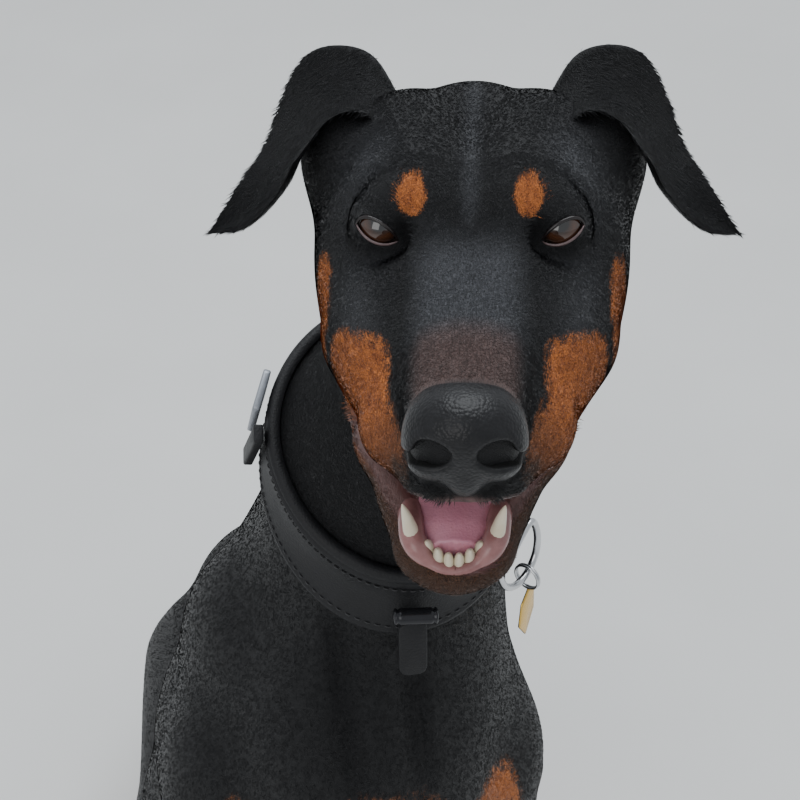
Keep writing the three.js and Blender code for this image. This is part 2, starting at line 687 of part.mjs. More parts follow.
addSolid(head, 'nose', nose, NOSE_SKIN);
addSolid(head, 'tongue', tongue, TONGUE_PINK);
const jaw = headWhole.intersect(jawSpace(gapHalf)).add(lowerTeeth()).subtract(tongueRoom);
let skull = headWhole.subtract(jawSpace(-gapHalf)).subtract(noseRoom).subtract(tongueRoom);
for (const [sideways, name] of [[1, 'left'], [-1, 'right']]) {
  skull = skull.add(lid(sideways, true)).add(lid(sideways, false)).add(ear(sideways));
  skull = skull.subtract(eyeBall(sideways, EYE_RADIUS + CUT));
  addSolid(head, `eye_${name}`, eyeBall(sideways, EYE_RADIUS), EYE_GLOSS);
  addSolid(head, `ear_${name}`, skull.intersect(earSpace(sideways, gapHalf)), EAR_COAT);
  skull = skull.subtract(earSpace(sideways, -gapHalf));
}
addSolid(head, 'head', skull, BLACK_COAT);
addSolid(head, 'lower_jaw', jaw, JAW_COAT);

// The collar: a loop round the neck in a plane that drops toward the chest.
// A place on it has an angle, 0 at the dog's left and 90 at the front, and a distance across the band.
const COLLAR_DROP = THREE.MathUtils.degToRad(34);
const LOOP_SIDE = new THREE.Vector3(1, 0, 0);
const LOOP_FRONT = new THREE.Vector3(0, -Math.cos(COLLAR_DROP), -Math.sin(COLLAR_DROP));
const LOOP_ACROSS = new THREE.Vector3(0, -Math.sin(COLLAR_DROP), Math.cos(COLLAR_DROP));

function neckRadius(angle, across) {
  const way = LOOP_SIDE.clone().multiplyScalar(Math.cos(angle)).addScaledVector(LOOP_FRONT, Math.sin(angle));
  const centre = point(NECK_AT_COLLAR).addScaledVector(LOOP_ACROSS, across);
  let [near, far] = [20, 160];
  for (let round = 0; round < 24; round += 1) {
    const middle = (near + far) / 2;
    const p = centre.clone().addScaledVector(way, middle);
    if (neckAndChest(p.x, -p.y, p.z) < 0) near = middle;
    else far = middle;
  }
  return near;
}

function collarPoint(angle, across, out) {
  const way = LOOP_SIDE.clone().multiplyScalar(Math.cos(angle)).addScaledVector(LOOP_FRONT, Math.sin(angle));
  return point(NECK_AT_COLLAR)
    .addScaledVector(LOOP_ACROSS, across)
    .addScaledVector(way, neckRadius(angle, across) + out);
}

// A closed loop of sections, each a list of points
function loopSolid(sections) {
  const size = sections[0].length;
  const faces = [];
  sections.forEach((_, r) => {
    const [a, b] = [r * size, ((r + 1) % sections.length) * size];
    for (let i = 0; i < size; i += 1) {
      const j = (i + 1) % size;
      faces.push([a + i, a + j, b + i], [a + j, b + j, b + i]);
    }
  });
  const geometry = new THREE.BufferGeometry().setFromPoints(sections.flat());
  geometry.setIndex(faces.flat());
  const solid = solidOf(geometry);
  if (solid.volume() > 0) return solid;
  geometry.setIndex(faces.flatMap(([a, b, c]) => [a, c, b]));
  return solidOf(geometry);
}

function band(width, inner, outer) {
  const sections = Array.from({ length: COLLAR_STEPS }, (_, n) => {
    const angle = (2 * Math.PI * n) / COLLAR_STEPS;
    const corners = [[-1, inner], [1, inner], [1, outer], [-1, outer]];
    return corners.map(([end, out]) => collarPoint(angle, (end * width) / 2, out));
  });
  return loopSolid(sections);
}
const COLLAR_SINK = -1.2;
const COLLAR_OUT = COLLAR_SINK + COLLAR_THICK;
const collarBand = band(COLLAR_WIDTH, COLLAR_SINK, COLLAR_OUT);
const collarRoom = band(COLLAR_WIDTH + 2 * CUT, COLLAR_SINK - CUT, COLLAR_OUT + 12);

// Fittings stand on the band: x runs along it, y across it toward the head, and z away from the neck
function onCollar(degrees, across, lift, tipDegrees = 0) {
  const angle = THREE.MathUtils.degToRad(degrees);
  const at = collarPoint(angle, across, COLLAR_OUT + lift);
  const along = collarPoint(angle - 0.08, across, COLLAR_OUT)
    .sub(collarPoint(angle + 0.08, across, COLLAR_OUT)).normalize();
  const side = collarPoint(angle, across + 4, COLLAR_OUT)
    .sub(collarPoint(angle, across - 4, COLLAR_OUT)).normalize();
  const out = new THREE.Vector3().crossVectors(along, side).normalize();
  const up = new THREE.Vector3().crossVectors(out, along);
  const tip = new THREE.Matrix4().makeRotationX(THREE.MathUtils.degToRad(tipDegrees));
  return new THREE.Matrix4().makeBasis(along, up, out).multiply(tip).setPosition(at);
}

// A flat block with rounded corners and softened edges, standing on its underside
function block(wide, tall, thick, corner) {
  const shape = new THREE.Shape();
  const [x, y] = [wide / 2 - corner, tall / 2 - corner];
  shape.absarc(x, y, corner, 0, Math.PI / 2);
  shape.absarc(-x, y, corner, Math.PI / 2, Math.PI);
  shape.absarc(-x, -y, corner, Math.PI, 1.5 * Math.PI);
  shape.absarc(x, -y, corner, 1.5 * Math.PI, 2 * Math.PI);
  shape.closePath();
  return solidOf(new THREE.ExtrudeGeometry(shape, { depth: thick, bevelEnabled: false, curveSegments: 3 }));
}

// A round bar bent along a closed path in the xy plane
function wireRing(outline, radius, fine = 1, sides = 6) {
  const corners = outline.map(([x, y]) => new THREE.Vector3(x, y, 0));
  const curve = new THREE.CatmullRomCurve3(corners, true, 'centripetal');
  const steps = outline.length * fine;
  return loopSolid(Array.from({ length: steps }, (_, n) => {
    const at = curve.getPoint(n / steps);
    const tangent = curve.getTangent(n / steps);
    const out = new THREE.Vector3(tangent.y, -tangent.x, 0);
    return Array.from({ length: sides }, (__, m) => {
      const angle = (2 * Math.PI * m) / sides;
      return at.clone().addScaledVector(out, Math.cos(angle) * radius).setZ(Math.sin(angle) * radius);
    });
  }));
}
const circle = (radius, count) => Array.from({ length: count }, (_, n) => [
  radius * Math.cos((2 * Math.PI * n) / count),
  radius * Math.sin((2 * Math.PI * n) / count),
]);

const ROLLER = { length: 24, radius: 4.5, degrees: 96, across: 6 };
const TAB = { wide: 15, tall: 34, thick: 4.5, across: -16, lift: 8.5, tip: -6 };
const PLATE = { wide: 24, tall: 44, thick: 4, degrees: 204 };
const KEEPER = { wide: 10, tall: 48, thick: 5, degrees: 186 };
const D_RING = { wide: 34, tall: 30, wire: 2, degrees: 46, across: -4, tip: -18 };
const SPLIT_RING = { radius: 7.5, wire: 1.1, hang: 3.8, turn: 128 };
const TAG = { wide: 19, tall: 36, thick: 1.6 };

const ROLLER_SIDES = 14;
const rollerBar = new THREE.CylinderGeometry(ROLLER.radius, ROLLER.radius, ROLLER.length, ROLLER_SIDES);
const roller = solidOf(rollerBar.rotateZ(Math.PI / 2));
const rollerFrame = onCollar(ROLLER.degrees, ROLLER.across, ROLLER.radius + CUT + 6.3);
addSolid(model, 'collar_roller', placed(roller, rollerFrame), BLACK_METAL);
const tabFrame = onCollar(ROLLER.degrees, TAB.across, CUT + TAB.lift, TAB.tip);
addSolid(model, 'collar_tab', placed(block(TAB.wide, TAB.tall, TAB.thick, 5), tabFrame), COLLAR_LEATHER);
const plateFrame = onCollar(PLATE.degrees, 0, CUT + 2.5);
addSolid(model, 'collar_plate', placed(block(PLATE.wide, PLATE.tall, PLATE.thick, 3), plateFrame), GREY_PLATE);
const keeperFrame = onCollar(KEEPER.degrees, 0, CUT + 2);
const keeper = block(KEEPER.wide, KEEPER.tall, KEEPER.thick, 1.5);
addSolid(model, 'collar_keeper', placed(keeper, keeperFrame), COLLAR_LEATHER);

// The D ring leans out from the band, and the split ring and the tag hang from it
const dOutline = [[-0.5, -0.5], [0, -0.5], [0.5, -0.5], [0.5, 0], [0.3, 0.38], [0, 0.5], [-0.3, 0.38], [-0.5, 0]]
  .map(([x, y]) => [x * D_RING.wide, -y * D_RING.tall]);
const dPlace = onCollar(D_RING.degrees, D_RING.across, D_RING.wire + CUT + 5, D_RING.tip);
addSolid(model, 'd_ring', placed(wireRing(dOutline, D_RING.wire, 2), dPlace), SILVER);
const ringAt = new THREE.Vector3(0, -D_RING.tall / 2, 0).applyMatrix4(dPlace);
ringAt.z -= SPLIT_RING.hang;
const splitRing = wireRing(circle(SPLIT_RING.radius, 12), SPLIT_RING.wire)
  .rotate([90, 0, SPLIT_RING.turn])
  .translate([ringAt.x, ringAt.y, ringAt.z]);
addSolid(model, 'split_ring', splitRing, SILVER);
const kite = new THREE.Shape([[0, 0.5], [0.42, 0.34], [0.5, -0.1], [0, -0.5], [-0.5, -0.1], [-0.42, 0.34]]
  .map(([x, y]) => new THREE.Vector2(x * TAG.wide, y * TAG.tall)));
const tag = solidOf(new THREE.ExtrudeGeometry(kite, { depth: TAG.thick, bevelEnabled: false }))
  .rotate([90, 0, 50])
  .translate([ringAt.x, ringAt.y, ringAt.z - SPLIT_RING.radius - TAG.tall / 2 - 2]);
addSolid(model, 'tag', tag, BRASS);
addSolid(model, 'collar', collarBand, COLLAR_LEATHER);

// Neck, torso, legs and tail
const headSpace = (gap) => placed(halfSpace(NAPE, NAPE_TILT, gap), headPlace);
const neckSpace = (gap) => halfSpace(NECK_BASE, NECK_BASE_TILT, gap);
const neckSolid = fieldSolid(dog, [-90, -20, 540], [150, 260, 930], NECK_CELL)
  .intersect(neckSpace(gapHalf))
  .subtract(headSpace(-gapHalf))
  .subtract(collarRoom);
addSolid(model, 'neck', neckSolid, BLACK_COAT);
const underFloor = boxSolid([-500, -900, -300], [500, 600, 0]);
let torsoSolid = fieldSolid(dog, [-180, -320, -2 * BODY_CELL], [180, 300, 760], BODY_CELL)
  .subtract(underFloor)
  .subtract(neckSpace(-gapHalf))
  .subtract(collarRoom);

// A leg's own finer mesh of the dog, inside its boxes
function legSolid(boxes, sideways, cell) {
  const whole = boxes[0];
  const sides = [whole[0][0] * sideways, whole[1][0] * sideways].sort((a, b) => a - b);
  const forwardEnd = Math.max(...boxes.map(([, high]) => high[1]));
  const low = [sides[0] - cell, whole[0][1] - cell, -2 * cell];
  const high = [sides[1] + cell, forwardEnd + cell, whole[1][2] + cell];
  const room = boxes.map((box) => sideBox(box, sideways, -gapHalf)).reduce((a, b) => a.add(b));
  return fieldSolid(dog, low, high, cell).subtract(underFloor).intersect(room);
}
for (const [sideways, name] of [[1, 'left'], [-1, 'right']]) {
  const hindBoxes = [THIGH_BOX, HIND_PAW_BOX];
  const foreleg = legSolid([FORELEG_BOX], sideways, LEG_CELL).subtract(sideBox(HIND_PAW_BOX, sideways, gapHalf));
  addSolid(model, `foreleg_${name}`, foreleg, BLACK_COAT);
  addSolid(model, `hindleg_${name}`, legSolid(hindBoxes, sideways, HINDLEG_CELL), BLACK_COAT);
  for (const box of [FORELEG_BOX, ...hindBoxes]) torsoSolid = torsoSolid.subtract(sideBox(box, sideways, gapHalf));
}
const tailSolid = fieldSolid(dog, [-60, -640, -2 * TAIL_CELL], [200, -250, 170], TAIL_CELL)
  .intersect(boxSolid(...TAIL_BOX))
  .subtract(underFloor);
addSolid(model, 'tail', tailSolid, BLACK_COAT);
torsoSolid = torsoSolid.subtract(boxSolid([-90, -800, -10], [260, TAIL_BOX[1][1] + CUT, 170]));
addSolid(model, 'torso', torsoSolid, BLACK_COAT);

// The origin is on the floor, under the middle of the whole dog
const extent = new THREE.Box3().setFromObject(model, true);
const middle = extent.getCenter(new THREE.Vector3());
model.position.set(-middle.x, -middle.y, 0);
export default model;
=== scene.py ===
# %% [markdown]
# # A sitting doberman, life size
# The dog's body comes in as a frame of closed solids that say where everything is. This script dresses that
# frame: one continuous skin with its short coat, eyes with lids, a wet nose, teeth, a tongue, claws and a
# collar with its fittings.

# %% The frame and the tools
import math

import bpy
import numpy as np
from mathutils import Matrix, Vector


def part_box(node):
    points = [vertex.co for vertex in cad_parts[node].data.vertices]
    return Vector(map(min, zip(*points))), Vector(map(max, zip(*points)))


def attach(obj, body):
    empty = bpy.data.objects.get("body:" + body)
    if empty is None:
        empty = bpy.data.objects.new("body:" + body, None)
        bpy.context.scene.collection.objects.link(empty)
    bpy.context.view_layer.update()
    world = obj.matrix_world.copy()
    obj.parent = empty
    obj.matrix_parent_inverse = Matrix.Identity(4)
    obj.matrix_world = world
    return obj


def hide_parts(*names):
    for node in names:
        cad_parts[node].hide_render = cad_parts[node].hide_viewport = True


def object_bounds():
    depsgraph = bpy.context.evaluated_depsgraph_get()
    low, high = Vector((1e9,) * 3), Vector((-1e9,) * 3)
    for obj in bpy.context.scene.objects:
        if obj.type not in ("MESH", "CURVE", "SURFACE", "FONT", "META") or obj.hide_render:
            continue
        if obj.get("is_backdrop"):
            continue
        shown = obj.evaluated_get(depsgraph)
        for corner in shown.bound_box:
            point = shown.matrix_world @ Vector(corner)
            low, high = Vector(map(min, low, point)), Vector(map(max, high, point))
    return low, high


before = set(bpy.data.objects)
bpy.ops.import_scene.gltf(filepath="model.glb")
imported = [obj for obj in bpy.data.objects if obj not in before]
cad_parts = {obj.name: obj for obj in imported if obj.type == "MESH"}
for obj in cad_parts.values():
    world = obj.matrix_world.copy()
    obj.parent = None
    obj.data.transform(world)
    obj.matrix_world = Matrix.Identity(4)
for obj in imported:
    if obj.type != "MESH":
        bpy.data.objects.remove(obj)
CAD_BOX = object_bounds()
rng = np.random.default_rng(7)
MM = 0.001
print("nodes in the frame:", len(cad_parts))

# %% [markdown]
# Places on the body are written in millimetres as side, forward and up: side is positive to the dog's left,
# forward runs from tail to chest, and the floor is up = 0. The head has a frame of its own that starts
# between the pupils. The left eyeball is known in both the frame and this script, so it gives the shift.

# %% The head's own frame
HEAD_AT = np.array([36.0, 250.0, 900.0])
HEAD_TURN, HEAD_RAISE, HEAD_LEAN = np.radians([15.1, 11.4, 1.7])
PUPIL_SIDE, EYE_FORWARD, EYE_RADIUS = 36.0, -5.0, 11.5


def turn(axis, angle):
    """A 3 by 3 rotation about x, y or z."""
    return np.array(Matrix.Rotation(angle, 3, axis))


HEAD_AXES = turn("Z", -HEAD_TURN) @ turn("X", -HEAD_RAISE) @ turn("Y", -HEAD_LEAN)
MIRROR = np.array([1.0, -1.0, 1.0])


def from_head(places):
    """Head places to body places: flip forward to -y, turn, flip back and move."""
    return (np.asarray(places, float) * MIRROR) @ HEAD_AXES.T * MIRROR + HEAD_AT


def to_head(places):
    """The reverse of from_head."""
    return ((np.asarray(places, float) - HEAD_AT) * MIRROR) @ HEAD_AXES * MIRROR


eye_low, eye_high = (np.array(corner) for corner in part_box("eye_left"))
EYE_BODY = from_head([PUPIL_SIDE, EYE_FORWARD, 0.0])
SHIFT = ((eye_low + eye_high) / 2 / MM) - EYE_BODY * MIRROR


def to_world(places):
    """Body places in millimetres to the scene's metres."""
    return (np.asarray(places, float) * MIRROR + [SHIFT[0], SHIFT[1], 0.0]) * MM


print("shift of the body in mm:", SHIFT.round(2))

# %% [markdown]
# ## Camera, light and floor
# The photo looks down at the dog from the height of a person's chest with a mild telephoto view. The camera
# stands a little to the dog's right. Soft light from overhead stands in for an overcast sky.

# %% Camera
CAMERA_BODY = np.array([-110.0, 801.4, 1288.2])
CAMERA_AZIMUTH, CAMERA_DROP = math.radians(12.0), math.radians(40.0)
PHOTO_SIDE_PX, FOCAL_PX = 800, 1705
SENSOR_MM = 36.0
camera_data = bpy.data.cameras.new("camera")
camera_data.sensor_width = SENSOR_MM
camera_data.lens = SENSOR_MM * FOCAL_PX / PHOTO_SIDE_PX
camera = bpy.data.objects.new("camera", camera_data)
bpy.context.scene.collection.objects.link(camera)
camera.location = to_world(CAMERA_BODY)
camera.rotation_euler = (math.pi / 2 - CAMERA_DROP, 0.0, -CAMERA_AZIMUTH)
bpy.context.scene.camera = camera
print("lens in mm:", round(camera_data.lens, 1))

# %% [markdown]
# ## The body as a field
# A dog's body has no edges where one part ends and the next begins, so neither a swept tube nor a grid of
# two parameters can hold it without seams at the shoulders and lips. Instead a field gives the distance to
# blended rounded masses, much the same as in the solids, and one mesh is drawn where the field is zero.
# Every field below is a function of an array of places and returns an array of distances.


# %% Blends and primitives
def blend(a, b, size):
    """The lower of two distances, less a fillet near squared times size over four where they are close."""
    near = np.maximum(size - np.abs(a - b), 0.0) / size
    return np.minimum(a, b) - near * near * size * 0.25


def carve(a, b, size):
    """Takes shape b away from shape a with a rounded rim."""
    return -blend(-a, b, size)


def mass(centre, half, tip=0.0, turned=0.0):
    """An ellipsoid: k0 (k0 - 1) / k1, with k0 the scaled length and k1 the length of its gradient."""
    ct, st = math.cos(math.radians(tip)), math.sin(math.radians(tip))
    cy, sy = math.cos(math.radians(turned)), math.sin(math.radians(turned))
    half = np.array(half, float)

    def field(p):
        s, f, u = (p[..., n] - centre[n] for n in range(3))
        s, f = s * cy - f * sy, s * sy + f * cy
        f, u = f * ct + u * st, u * ct - f * st
        q = np.stack([s, f, u], -1) / half
        k0 = np.sqrt((q * q).sum(-1))
        k1 = np.sqrt(((q / half) ** 2).sum(-1)) + 1e-9
        return k0 * (k0 - 1.0) / k1
    return field


def bar(a, ra, b, rb, squeeze=1.0):
    """A tapered round bar: distance to the nearest point of the segment, less the radius there."""
    a, b = np.array(a, float), np.array(b, float)
    scale = np.array([1.0 / squeeze, 1.0, 1.0])
    way = (b - a) * scale

    def field(p):
        q = (p - a) * scale
        t = np.clip((q @ way) / (way @ way), 0.0, 1.0)
        gap = q - t[..., None] * way
        return (np.sqrt((gap * gap).sum(-1)) - (ra + (rb - ra) * t)) * min(1.0, squeeze)
    return field


def loft(stations, power):
    """A body along the forward axis. Each station is forward, low edge, high edge and half width, joined by
    cubic curves, and the section is |s / wide|^power + |u / tall|^power = 1."""
    table = np.array(stations, float)
    x = table[:, 0]
    slope = np.gradient(table[:, 1:], x, axis=0)
    step = np.diff(x)
    slope[0] = 0.5 * (table[1, 1:] - table[0, 1:]) / step[0]
    slope[-1] = 0.5 * (table[-1, 1:] - table[-2, 1:]) / step[-1]
    slope[1:-1] = (table[2:, 1:] - table[:-2, 1:]) / (x[2:] - x[:-2])[:, None]

    def field(p):
        s, f, u = np.abs(p[..., 0]), p[..., 1], p[..., 2]
        g = np.clip(f, x[0], x[-1])
        i = np.clip(np.searchsorted(x, g, side="left") - 1, 0, len(x) - 2)
        t = ((g - x[i]) / step[i])[..., None]
        t2, t3 = t * t, t * t * t
        values = ((2 * t3 - 3 * t2 + 1) * table[i, 1:] + (t3 - 2 * t2 + t) * slope[i] * step[i][..., None]
                  + (3 * t2 - 2 * t3) * table[i + 1, 1:] + (t3 - t2) * slope[i + 1] * step[i][..., None])
        low, high, wide = values[..., 0], values[..., 1], values[..., 2]
        tall = (high - low) / 2
        k = ((s / wide) ** power + (np.abs(u - (high + low) / 2) / tall) ** power) ** (1 / power)
        across = (k - 1.0) * np.minimum(wide, tall)
        past = f - g
        return np.where(past == 0, across, np.hypot(np.maximum(across, 0), past))
    return field


def join(*parts):
    """Blends pairs of a field and its fillet size in order."""
    def field(p):
        d = np.full(p.shape[:-1], 1e9)
        for part, size in parts:
            d = blend(d, part(p), size)
        return d
    return field


MIDLINE = 3.0


def paired(field):
    """A field made for the left side, on both sides, softened where they meet."""
    return lambda p: field(np.concatenate([np.sqrt(p[..., :1] ** 2 + MIDLINE ** 2), p[..., 1:]], -1))


# %% The masses of the head
upper_head = paired(join(
    (mass([27, -76, -10], [37, 54, 35]), 10),
    (mass([0, -112, -2], [27, 30, 26]), 20),
    (mass([20, -38, 3], [28, 44, 20]), 18),
    (mass([26, -9, 7], [15, 14, 11]), 14),
    (mass([57, -80, 0], [20, 24, 28], 12), 12),
    (mass([31, -86, 8], [19, 28, 18]), 12),
    (mass([44, -48, -26], [24, 46, 28], 8), 18),
    (mass([40, -20, -46], [23, 44, 24], 4), 20),
    (mass([33, 14, -38], [19, 38, 24], 4), 20),
    (loft([[-30, -50, 12, 42], [0, -62, 4, 37], [30, -66, -4, 33], [60, -69, -9, 29.5], [85, -68, -12, 26],
           [102, -66, -15, 22], [112, -61, -21, 16]], 2.3), 20),
    (bar([37, 10, -49], 19, [23, 68, -53], 16.5), 14),
    (bar([23, 68, -53], 16.5, [12, 99, -54], 12), 9),
    (mass([0, 107, -34], [21, 15, 18]), 5),
))
lower_jaw = paired(join(
    (bar([38, -58, -56], 18, [27, 30, -80], 15), 10),
    (bar([27, 30, -80], 15, [12, 78, -100], 12.5), 12),
    (bar([0, -40, -66], 22, [0, 50, -94], 15), 16),
    (mass([0, 81, -103], [20, 17, 16], 10), 8),
))
JAW_SWING = 4.5
mouth_gap = loft([[22, -72, -66, 20], [40, -76, -66, 40], [60, -82, -66, 48], [90, -88, -63, 56],
                  [140, -94, -58, 70]], 2.4)
jaw_trough = mass([0, 82, -86], [15, 28, 17])
orbits = paired(mass([PUPIL_SIDE, 9, 0], [11.5, 7, 7.5], 0, -16))
EYE_TURN = math.radians(7)
LID_RADIUS, LID_HALF_WIDTH, LID_RISE, LID_FALL, LID_SLANT = 13.0, 8.6, 6.3, 3.3, 0.36


def lid_frame(q):
    """Places beside the left eye's middle as outward, up (less the slant) and out of the head."""
    x = q[..., 0] * math.cos(EYE_TURN) - q[..., 1] * math.sin(EYE_TURN)
    z = q[..., 0] * math.sin(EYE_TURN) + q[..., 1] * math.cos(EYE_TURN)
    return x, q[..., 2] - LID_SLANT * x, z


def opening(p):
    """The almond between the lids: the overlap of two discs, along the direction of the gaze."""
    left = np.concatenate([np.abs(p[..., :1]), p[..., 1:]], -1)
    x, y, z = lid_frame(left - [PUPIL_SIDE, EYE_FORWARD, 0.0])
    edges = []
    for height, sign in ((LID_RISE, 1), (LID_FALL, -1)):
        radius = (LID_HALF_WIDTH ** 2 + height ** 2) / (2 * height)
        edges.append(np.hypot(x, y * sign - height + radius) - radius)
    return np.maximum(np.maximum(*edges), -z)


eye_covers = paired(mass([PUPIL_SIDE, EYE_FORWARD, 0], [LID_RADIUS] * 3))


def whole_head(p, depth=0.0):
    """Skull and jaw joined behind the corners of the mouth and drawn in by a depth, less the mouth.

    Balls cover the eyes, and an almond is cut through each for the lids.
    """
    swung = p + JAW_SWING * np.clip((p[..., 1:2] + 20) / 80, 0, 1) * [1, 0, 0]
    top, jaw = upper_head(p), carve(lower_jaw(swung), jaw_trough(swung), 3)
    closed = np.where(p[..., 1] < 30, blend(top, jaw, 16), blend(top, jaw, 6))
    face = carve(carve(closed + depth, mouth_gap(p), 3), orbits(p), 8)
    return carve(blend(face, eye_covers(p), 6), opening(p), 1.2)


# %% The masses of the body
torso = paired(join(
    (mass([0, 114, 474], [88, 118, 120], 62), 20),
    (mass([0, 30, 395], [94, 146, 108], 58), 40),
    (mass([0, -90, 305], [80, 130, 80], 52), 45),
    (mass([0, -195, 205], [82, 95, 92], 40), 45),
    (mass([0, -226, 90], [64, 58, 94]), 35),
    (mass([0, 188, 470], [66, 58, 92], 10), 40),
    (mass([0, 56, 570], [26, 60, 50], 40), 30),
    (mass([62, 92, 485], [34, 56, 92], -18), 26),
    (mass([80, 150, 440], [40, 50, 66], 10), 28),
    (mass([88, 98, 400], [34, 56, 74], 8), 28),
))
NECK_AT_COLLAR = np.array([33.0, 132.0, 686.0])
NECK_TOP = from_head([0, -84, -36])
THROAT_TOP = from_head([0, -52, -52])
neck = join(
    (bar([14, 88, 555], 64, NECK_AT_COLLAR, 58), 36),
    (bar([16, 138, 520], 76, NECK_AT_COLLAR, 59), 36),
    (bar(NECK_AT_COLLAR, 58, NECK_TOP, 36), 26),
    (bar(NECK_AT_COLLAR + [4, 22, -8], 46, THROAT_TOP, 36), 26),
)


def foreleg(sideways):
    """An upright foreleg: upper arm, forearm, wrist, pastern and a paw with four toes."""
    parts = [
        (bar([sideways * 92, 112, 372], 42, [sideways * 84, 132, 300], 34), 20),
        (bar([sideways * 84, 134, 320], 37, [sideways * 74, 152, 205], 25), 24),
        (bar([sideways * 74, 152, 205], 25, [sideways * 70, 164, 122], 20.5), 20),
        (mass([sideways * 70, 166, 112], [22, 21, 24]), 16),
        (bar([sideways * 70, 166, 108], 20, [sideways * 72, 180, 42], 19), 16),
        (mass([sideways * 74, 188, 20], [31, 40, 24], 6), 16),
    ]
    for toe in range(4):
        reach = 196 + (26 if toe in (1, 2) else 12)
        parts.append((mass([sideways * 74 + (toe - 1.5) * 16, reach, 14], [9.5, 19, 15], 12), 7))
    return join(*parts)


def hindleg(sideways):
    """A folded hind leg: thigh, knee, shank, hock, the long foot on the floor and four toes."""
    parts = [
        (mass([sideways * 80, -120, 182], [36, 114, 84], 8), 30),
        (bar([sideways * 76, -175, 192], 43, [sideways * 108, 0, 198], 39), 30),
        (mass([sideways * 114, 14, 200], [31, 38, 44]), 24),
        (bar([sideways * 114, 6, 186], 36, [sideways * 116, -128, 78], 24), 24),
        (bar([sideways * 120, -128, 76], 22, [sideways * 120, -165, 48], 20), 14),
        (bar([sideways * 120, -165, 34], 22, [sideways * 122, 20, 24], 22), 16),
        (mass([sideways * 124, 52, 20], [31, 42, 24], 4), 16),
    ]
    for toe in range(4):
        reach = 86 if toe in (1, 2) else 72
        parts.append((mass([sideways * 124 + (toe - 1.5) * 16, reach, 14], [9.5, 19, 15], 12), 7))
    return join(*parts)


TAIL_START, TAIL_REACH, TAIL_SWING, TAIL_STEPS = (0, -262, 82), 330, 120, 10


def tail_radius(t):
    """The tail's radius from its root, t = 0, to its tip, t = 1."""
    return 27 + (8.5 - 27) * t ** 0.55


def tail_point(t):
    """The tail drops to the floor within a third of its length and then swings to the left."""
    above = TAIL_START[2] * (1 - min(1.0, t * 2.8) ** 0.8)
    back = TAIL_START[1] - TAIL_REACH * t * (1 - 0.12 * t)
    return [TAIL_SWING * t * t, back, max(tail_radius(t) - 1, above)]


tail = join(*[(bar(tail_point(n / TAIL_STEPS), tail_radius(n / TAIL_STEPS),
                   tail_point((n + 1) / TAIL_STEPS), tail_radius((n + 1) / TAIL_STEPS)), 8)
              for n in range(TAIL_STEPS)])
LEGS = [foreleg(1), foreleg(-1), hindleg(1), hindleg(-1)]


def trunk(p):
    """Torso and neck, which carry the collar."""
    return blend(torso(p), neck(p), 34)

# %% [markdown]
# ## Where the collar lies
# The collar is a loop round the neck in a plane that drops toward the chest. A place on it has an angle, 0
# at the dog's left and 90 at the front, and a distance across the band, positive toward the head.

# %% The collar's loop
COLLAR_DROP = math.radians(34)
COLLAR_THICK, COLLAR_SINK = 5.0, -1.2
LOOP_SIDE = np.array([1.0, 0.0, 0.0])
LOOP_FRONT = np.array([0.0, math.cos(COLLAR_DROP), -math.sin(COLLAR_DROP)])
LOOP_ACROSS = np.array([0.0, math.sin(COLLAR_DROP), math.cos(COLLAR_DROP)])


def collar_point(angle, across, out):
    """Places a distance out from the neck's surface, which is found by halving."""
    angle, across, out = (np.asarray(v, float)[..., None] for v in np.broadcast_arrays(angle, across, out))
    way = LOOP_SIDE * np.cos(angle) + LOOP_FRONT * np.sin(angle)
    centre = NECK_AT_COLLAR + LOOP_ACROSS * across
    near, far = np.full(angle.shape, 20.0), np.full(angle.shape, 160.0)
    for _ in range(18):
        middle = (near + far) / 2
        inside = trunk(centre + way * middle)[..., None] < 0
        near, far = np.where(inside, middle, near), np.where(inside, far, middle)
    return centre + way * (near + out)


def on_collar(degrees, across, lift, tip=0.0):
    """A frame that stands on the band: x backward along it, y toward the head and z out of the neck."""
    angle = math.radians(degrees)
    at = collar_point(angle, across, COLLAR_SINK + COLLAR_THICK + lift)
    along = collar_point(angle - 0.08, across, 4) - collar_point(angle + 0.08, across, 4)
    side = collar_point(angle, across + 4, 4) - collar_point(angle, across - 4, 4)
    along, side = along / np.linalg.norm(along), side / np.linalg.norm(side)
    out = -np.cross(along, side)
    out = out / np.linalg.norm(out)
    up = -np.cross(out, along)
    c, s = math.cos(math.radians(tip)), math.sin(math.radians(tip))
    return at, np.stack([along, up * c + out * s, out * c - up * s])


# %% [markdown]
# ## Drawing the surface
# The field is sampled at the corners of small cubes, first coarsely to find the cubes near the surface. Each
# cube that the surface crosses gets one vertex, each crossed edge a quad, and the vertices then move down
# the field's slope on to the surface.


# %% From field to mesh
def slope_of(field, p, step=0.4):
    """The field's gradient by forward differences."""
    d = field(p)
    ahead = [field(p + step * np.eye(3)[n]) for n in range(3)]
    return d, np.stack([(a - d) / step for a in ahead], -1)


def sample(field, low, high, cell):
    """Field values on a grid: all of a grid four times coarser, and each fine point near the surface."""
    axes = [np.arange(low[n] - cell, high[n] + 2 * cell, cell) for n in range(3)]
    shape = [len(a) for a in axes]
    coarse = [a[::4] for a in axes]
    grid = np.stack(np.meshgrid(*coarse, indexing="ij"), -1)
    rough = field(grid)
    index = [np.minimum(np.round(np.arange(size) / 4).astype(int), len(c) - 1)
             for size, c in zip(shape, coarse)]
    values = rough[np.ix_(*index)].copy()
    near = np.abs(values) < cell * 4 * 1.9
    places = np.stack([axes[n][where] for n, where in enumerate(np.nonzero(near))], -1)
    values[near] = field(places)
    edge = np.ones(shape, bool)
    edge[1:-1, 1:-1, 1:-1] = False
    values[edge] = np.maximum(values[edge], cell)
    return values, np.array([a[0] for a in axes])


